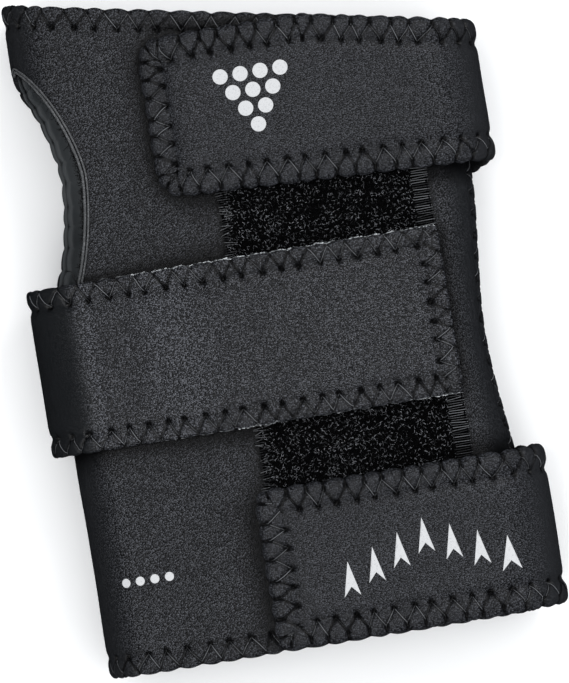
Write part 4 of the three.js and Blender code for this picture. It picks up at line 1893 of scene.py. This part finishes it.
@dataclass
class Marks:
    """Plain bowling marks in white ink: a rack of pins, the lane's arrows and its approach spots."""

    palette: Palette
    pin: float = 1.9
    rack_pitch: float = 5.0
    spot: float = 1.15
    spot_pitch: float = 3.7
    arrow_pitch: float = 6.6
    arrow_step: float = 2.6
    arrow_length: float = 8.8
    arrow_half: float = 2.1
    arrow_middle: float = 6.4

    def run_at(self, panel: Panel, x: float, low: float, high: float) -> float:
        """Distance along a panel's section to a place across the glove, between two shares of its length."""
        whole = panel.section.length
        return float(panel.section.run_at_x(np.array(x), whole * low, whole * high))

    def dot(self, mark: Print, middle: Pair, radius: float, steps: int) -> None:
        """Adds a round spot to a print, round a middle on the flat panel."""
        turn = np.linspace(0, 2 * np.pi, steps, endpoint=False)
        mark.shape(np.array(middle) + radius * np.stack([np.cos(turn), np.sin(turn)], axis=1))

    def rack(self, panel: Panel, x: float, y: float) -> None:
        """Prints ten pin spots, four in the back row.

        Args:
            panel: The panel that carries them.
            x: The rack's middle across the glove.
            y: Its middle along the glove.
        """
        mark = Print("pin_rack", panel, self.palette.ink)
        centre = self.run_at(panel, x, 0.35, 1)
        pitch = self.rack_pitch
        for row in range(4):
            for k in range(row + 1):
                middle = (centre + (k - row / 2) * pitch, y + (row - 1.5) * pitch * 0.87)
                self.dot(mark, middle, self.pin, 32)
        mark.build()

    def arrows(self, panel: Panel, x: float, y: float) -> None:
        """Prints the lane's seven arrows in their wide V.

        Args:
            panel: The panel that carries them.
            x: Their middle across the glove.
            y: The middle arrow's tip along the glove.
        """
        mark = Print("lane_arrows", panel, self.palette.ink)
        centre = self.run_at(panel, x, 0.35, 1)
        for k in range(-3, 4):
            s = centre - k * self.arrow_pitch
            tip = y - abs(k) * self.arrow_step
            foot = tip - self.arrow_length
            left, right = s - self.arrow_half, s + self.arrow_half
            mark.shape(np.array([(s, tip), (left, foot), (s, tip - self.arrow_middle), (right, foot)]))
        mark.build()

    def spots(self, panel: Panel, x: float, y: float) -> None:
        """Prints a row of approach spots.

        Args:
            panel: The panel that carries them.
            x: The row's first spot across the glove.
            y: The row's place along the glove.
        """
        mark = Print("approach_spots", panel, self.palette.ink)
        first = self.run_at(panel, x, 0, 0.5)
        for k in range(4):
            self.dot(mark, (first - k * self.spot_pitch, y), self.spot, 28)
        mark.build()


@dataclass
class Studio:
    """The pale floor, the soft lights and the camera over the glove."""

    roll: float = 9.35
    picture_height: float = 170.75
    middle: Pair = (1.2, -8.9)
    sharp_height: float = 22.0
    distance: float = 2000.0
    floor: float = 6000.0
    sky_bands: tuple[Pair, ...] = ((0.0, 0.6), (0.35, 0.9), (0.7, 1.0), (0.88, 0.7), (1.0, 0.6))
    sky_strength: float = 1.6
    sky_lean: float = 0.35

    def build_camera(self) -> None:
        """Places the camera straight over the glove, rolled as the photograph is."""
        data = bpy.data.cameras.new("camera")
        data.sensor_fit = "VERTICAL"
        data.sensor_height = 36
        data.lens = data.sensor_height * self.distance / self.picture_height
        data.clip_end = 20
        camera = bpy.data.objects.new("camera", data)
        bpy.context.scene.collection.objects.link(camera)
        angle = math.radians(-self.roll)
        place = Vector((self.middle[0], self.middle[1], self.distance + self.sharp_height)) * MM
        camera.matrix_world = Matrix.Translation(place) @ Matrix.Rotation(angle, 4, "Z")
        bpy.context.scene.camera = camera

    def build_floor(self) -> None:
        """Makes the floor of pale paper."""
        nodes = Nodes("floor_paper")
        cloud = nodes.noise(nodes.coordinates(), Scale=0.004, Detail=2.0).outputs["Fac"]
        colour = nodes.mix(cloud, (0.9, 0.9, 0.905), (0.93, 0.93, 0.93))
        paper = nodes.finish(Base_Color=colour, Roughness=0.9, Specular_IOR_Level=0.1)
        half = self.floor / 2
        corners = np.array([(-half, -half, 0.0), (half, -half, 0.0), (half, half, 0.0), (-half, half, 0.0)])
        floor = make_object("floor", corners, np.array([[0, 1, 2, 3]]), [paper])
        floor.visible_glossy = False

    def add_light(self, name: str, place: tuple[float, float, float], size: Pair, power: float) -> None:
        """Adds a soft light aimed at the glove.

        Args:
            name: Its name.
            place: Where it stands, in millimetres.
            size: Its width and height.
            power: Its power in watts.
        """
        data = bpy.data.lights.new(name, "AREA")
        data.shape = "RECTANGLE"
        data.size, data.size_y = (value * MM for value in size)
        data.energy = power
        light = bpy.data.objects.new(name, data)
        bpy.context.scene.collection.objects.link(light)
        light.location = Vector(place) * MM
        light.rotation_euler = (-light.location).to_track_quat("-Z", "Y").to_euler()

    def build_world(self) -> None:
        """Makes the room's light, brighter overhead than at the horizon."""
        world = bpy.data.worlds.new("studio")
        world.use_nodes = True
        tree = world.node_tree
        sky = tree.nodes["Background"]
        place = tree.nodes.new("ShaderNodeTexCoord")
        parts = tree.nodes.new("ShaderNodeSeparateXYZ")
        ramp = tree.nodes.new("ShaderNodeValToRGB")
        tree.links.new(place.outputs["Generated"], parts.inputs[0])
        tree.links.new(parts.outputs["Z"], ramp.inputs["Fac"])
        bands = ramp.color_ramp.elements
        while len(bands) < len(self.sky_bands):
            bands.new(0.5)
        for band, (height, strength) in zip(bands, self.sky_bands):
            band.position = height
            band.color = (strength, strength, strength, 1)
        lean = tree.nodes.new("ShaderNodeMath")
        lean.operation = "MULTIPLY_ADD"
        lean.inputs[1].default_value = self.sky_strength * self.sky_lean
        lean.inputs[2].default_value = self.sky_strength
        tree.links.new(parts.outputs["X"], lean.inputs[0])
        scale = tree.nodes.new("ShaderNodeMath")
        scale.operation = "MULTIPLY"
        tree.links.new(lean.outputs[0], scale.inputs[1])
        tree.links.new(ramp.outputs["Color"], scale.inputs[0])
        tree.links.new(scale.outputs[0], sky.inputs["Strength"])
        sky.inputs["Color"].default_value = (0.97, 0.985, 1.0, 1)
        world.cycles_visibility.glossy = False
        bpy.context.scene.world = world

    def build(self) -> None:
        """Sets up the whole studio."""
        self.build_camera()
        self.build_floor()
        self.build_world()
        self.add_light("overhead", (-700, 150, 2600), (800, 800), 9)
        self.add_light("key", (800, 900, 1150), (500, 500), 5)
        self.add_light("side", (-650, -950, 1050), (400, 600), 2.5)
        view = bpy.context.scene.view_settings
        view.view_transform = "Standard"
        view.look = "None"
        view.exposure = 0.0


def dress_hooks(palette: Palette) -> None:
    """Gives the hidden hook tapes, which keep their solids, their finish."""
    for node in ("top_tab_hook", "wrist_strap_hook", "bottom_tab_hook"):
        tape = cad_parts[node]
        tape.data.materials.clear()
        tape.data.materials.append(palette.hook)
        LOG.info("%s: kept from the packed model", node)


def main() -> None:
    """Builds the studio and the glove, piece by piece."""
    logging.basicConfig(level=logging.INFO, format="%(message)s")
    Studio().build()
    palette = Palette()
    z = SIZES
    shell = Body(z, palette).build()
    LoopPatch(z, palette).build()
    bottom = z.wrist_y + z.bottom_tab_low
    top_tab = Tab(
        "knuckle_tab", "top_tab", z, palette, z.top_tab_end_x, z.top_tab_corner,
        z.top_tab_low_y, z.top_tab_high_y,
    )
    bottom_tab = Tab(
        "forearm_tab", "bottom_tab", z, palette, z.bottom_tab_end_x, z.bottom_tab_corner,
        lambda x, _: bottom + 0 * x, lambda x, _: bottom + z.bottom_tab_width + 0 * x,
    )
    marks = Marks(palette)
    marks.spots(shell, -47.5, -62.0)
    marks.rack(top_tab.build(), 3.6, 52.0)
    marks.arrows(bottom_tab.build(), 27.5, -57.5)
    WristStrap(z, palette).build()
    dress_hooks(palette)


if __name__ == "__main__":
    main()
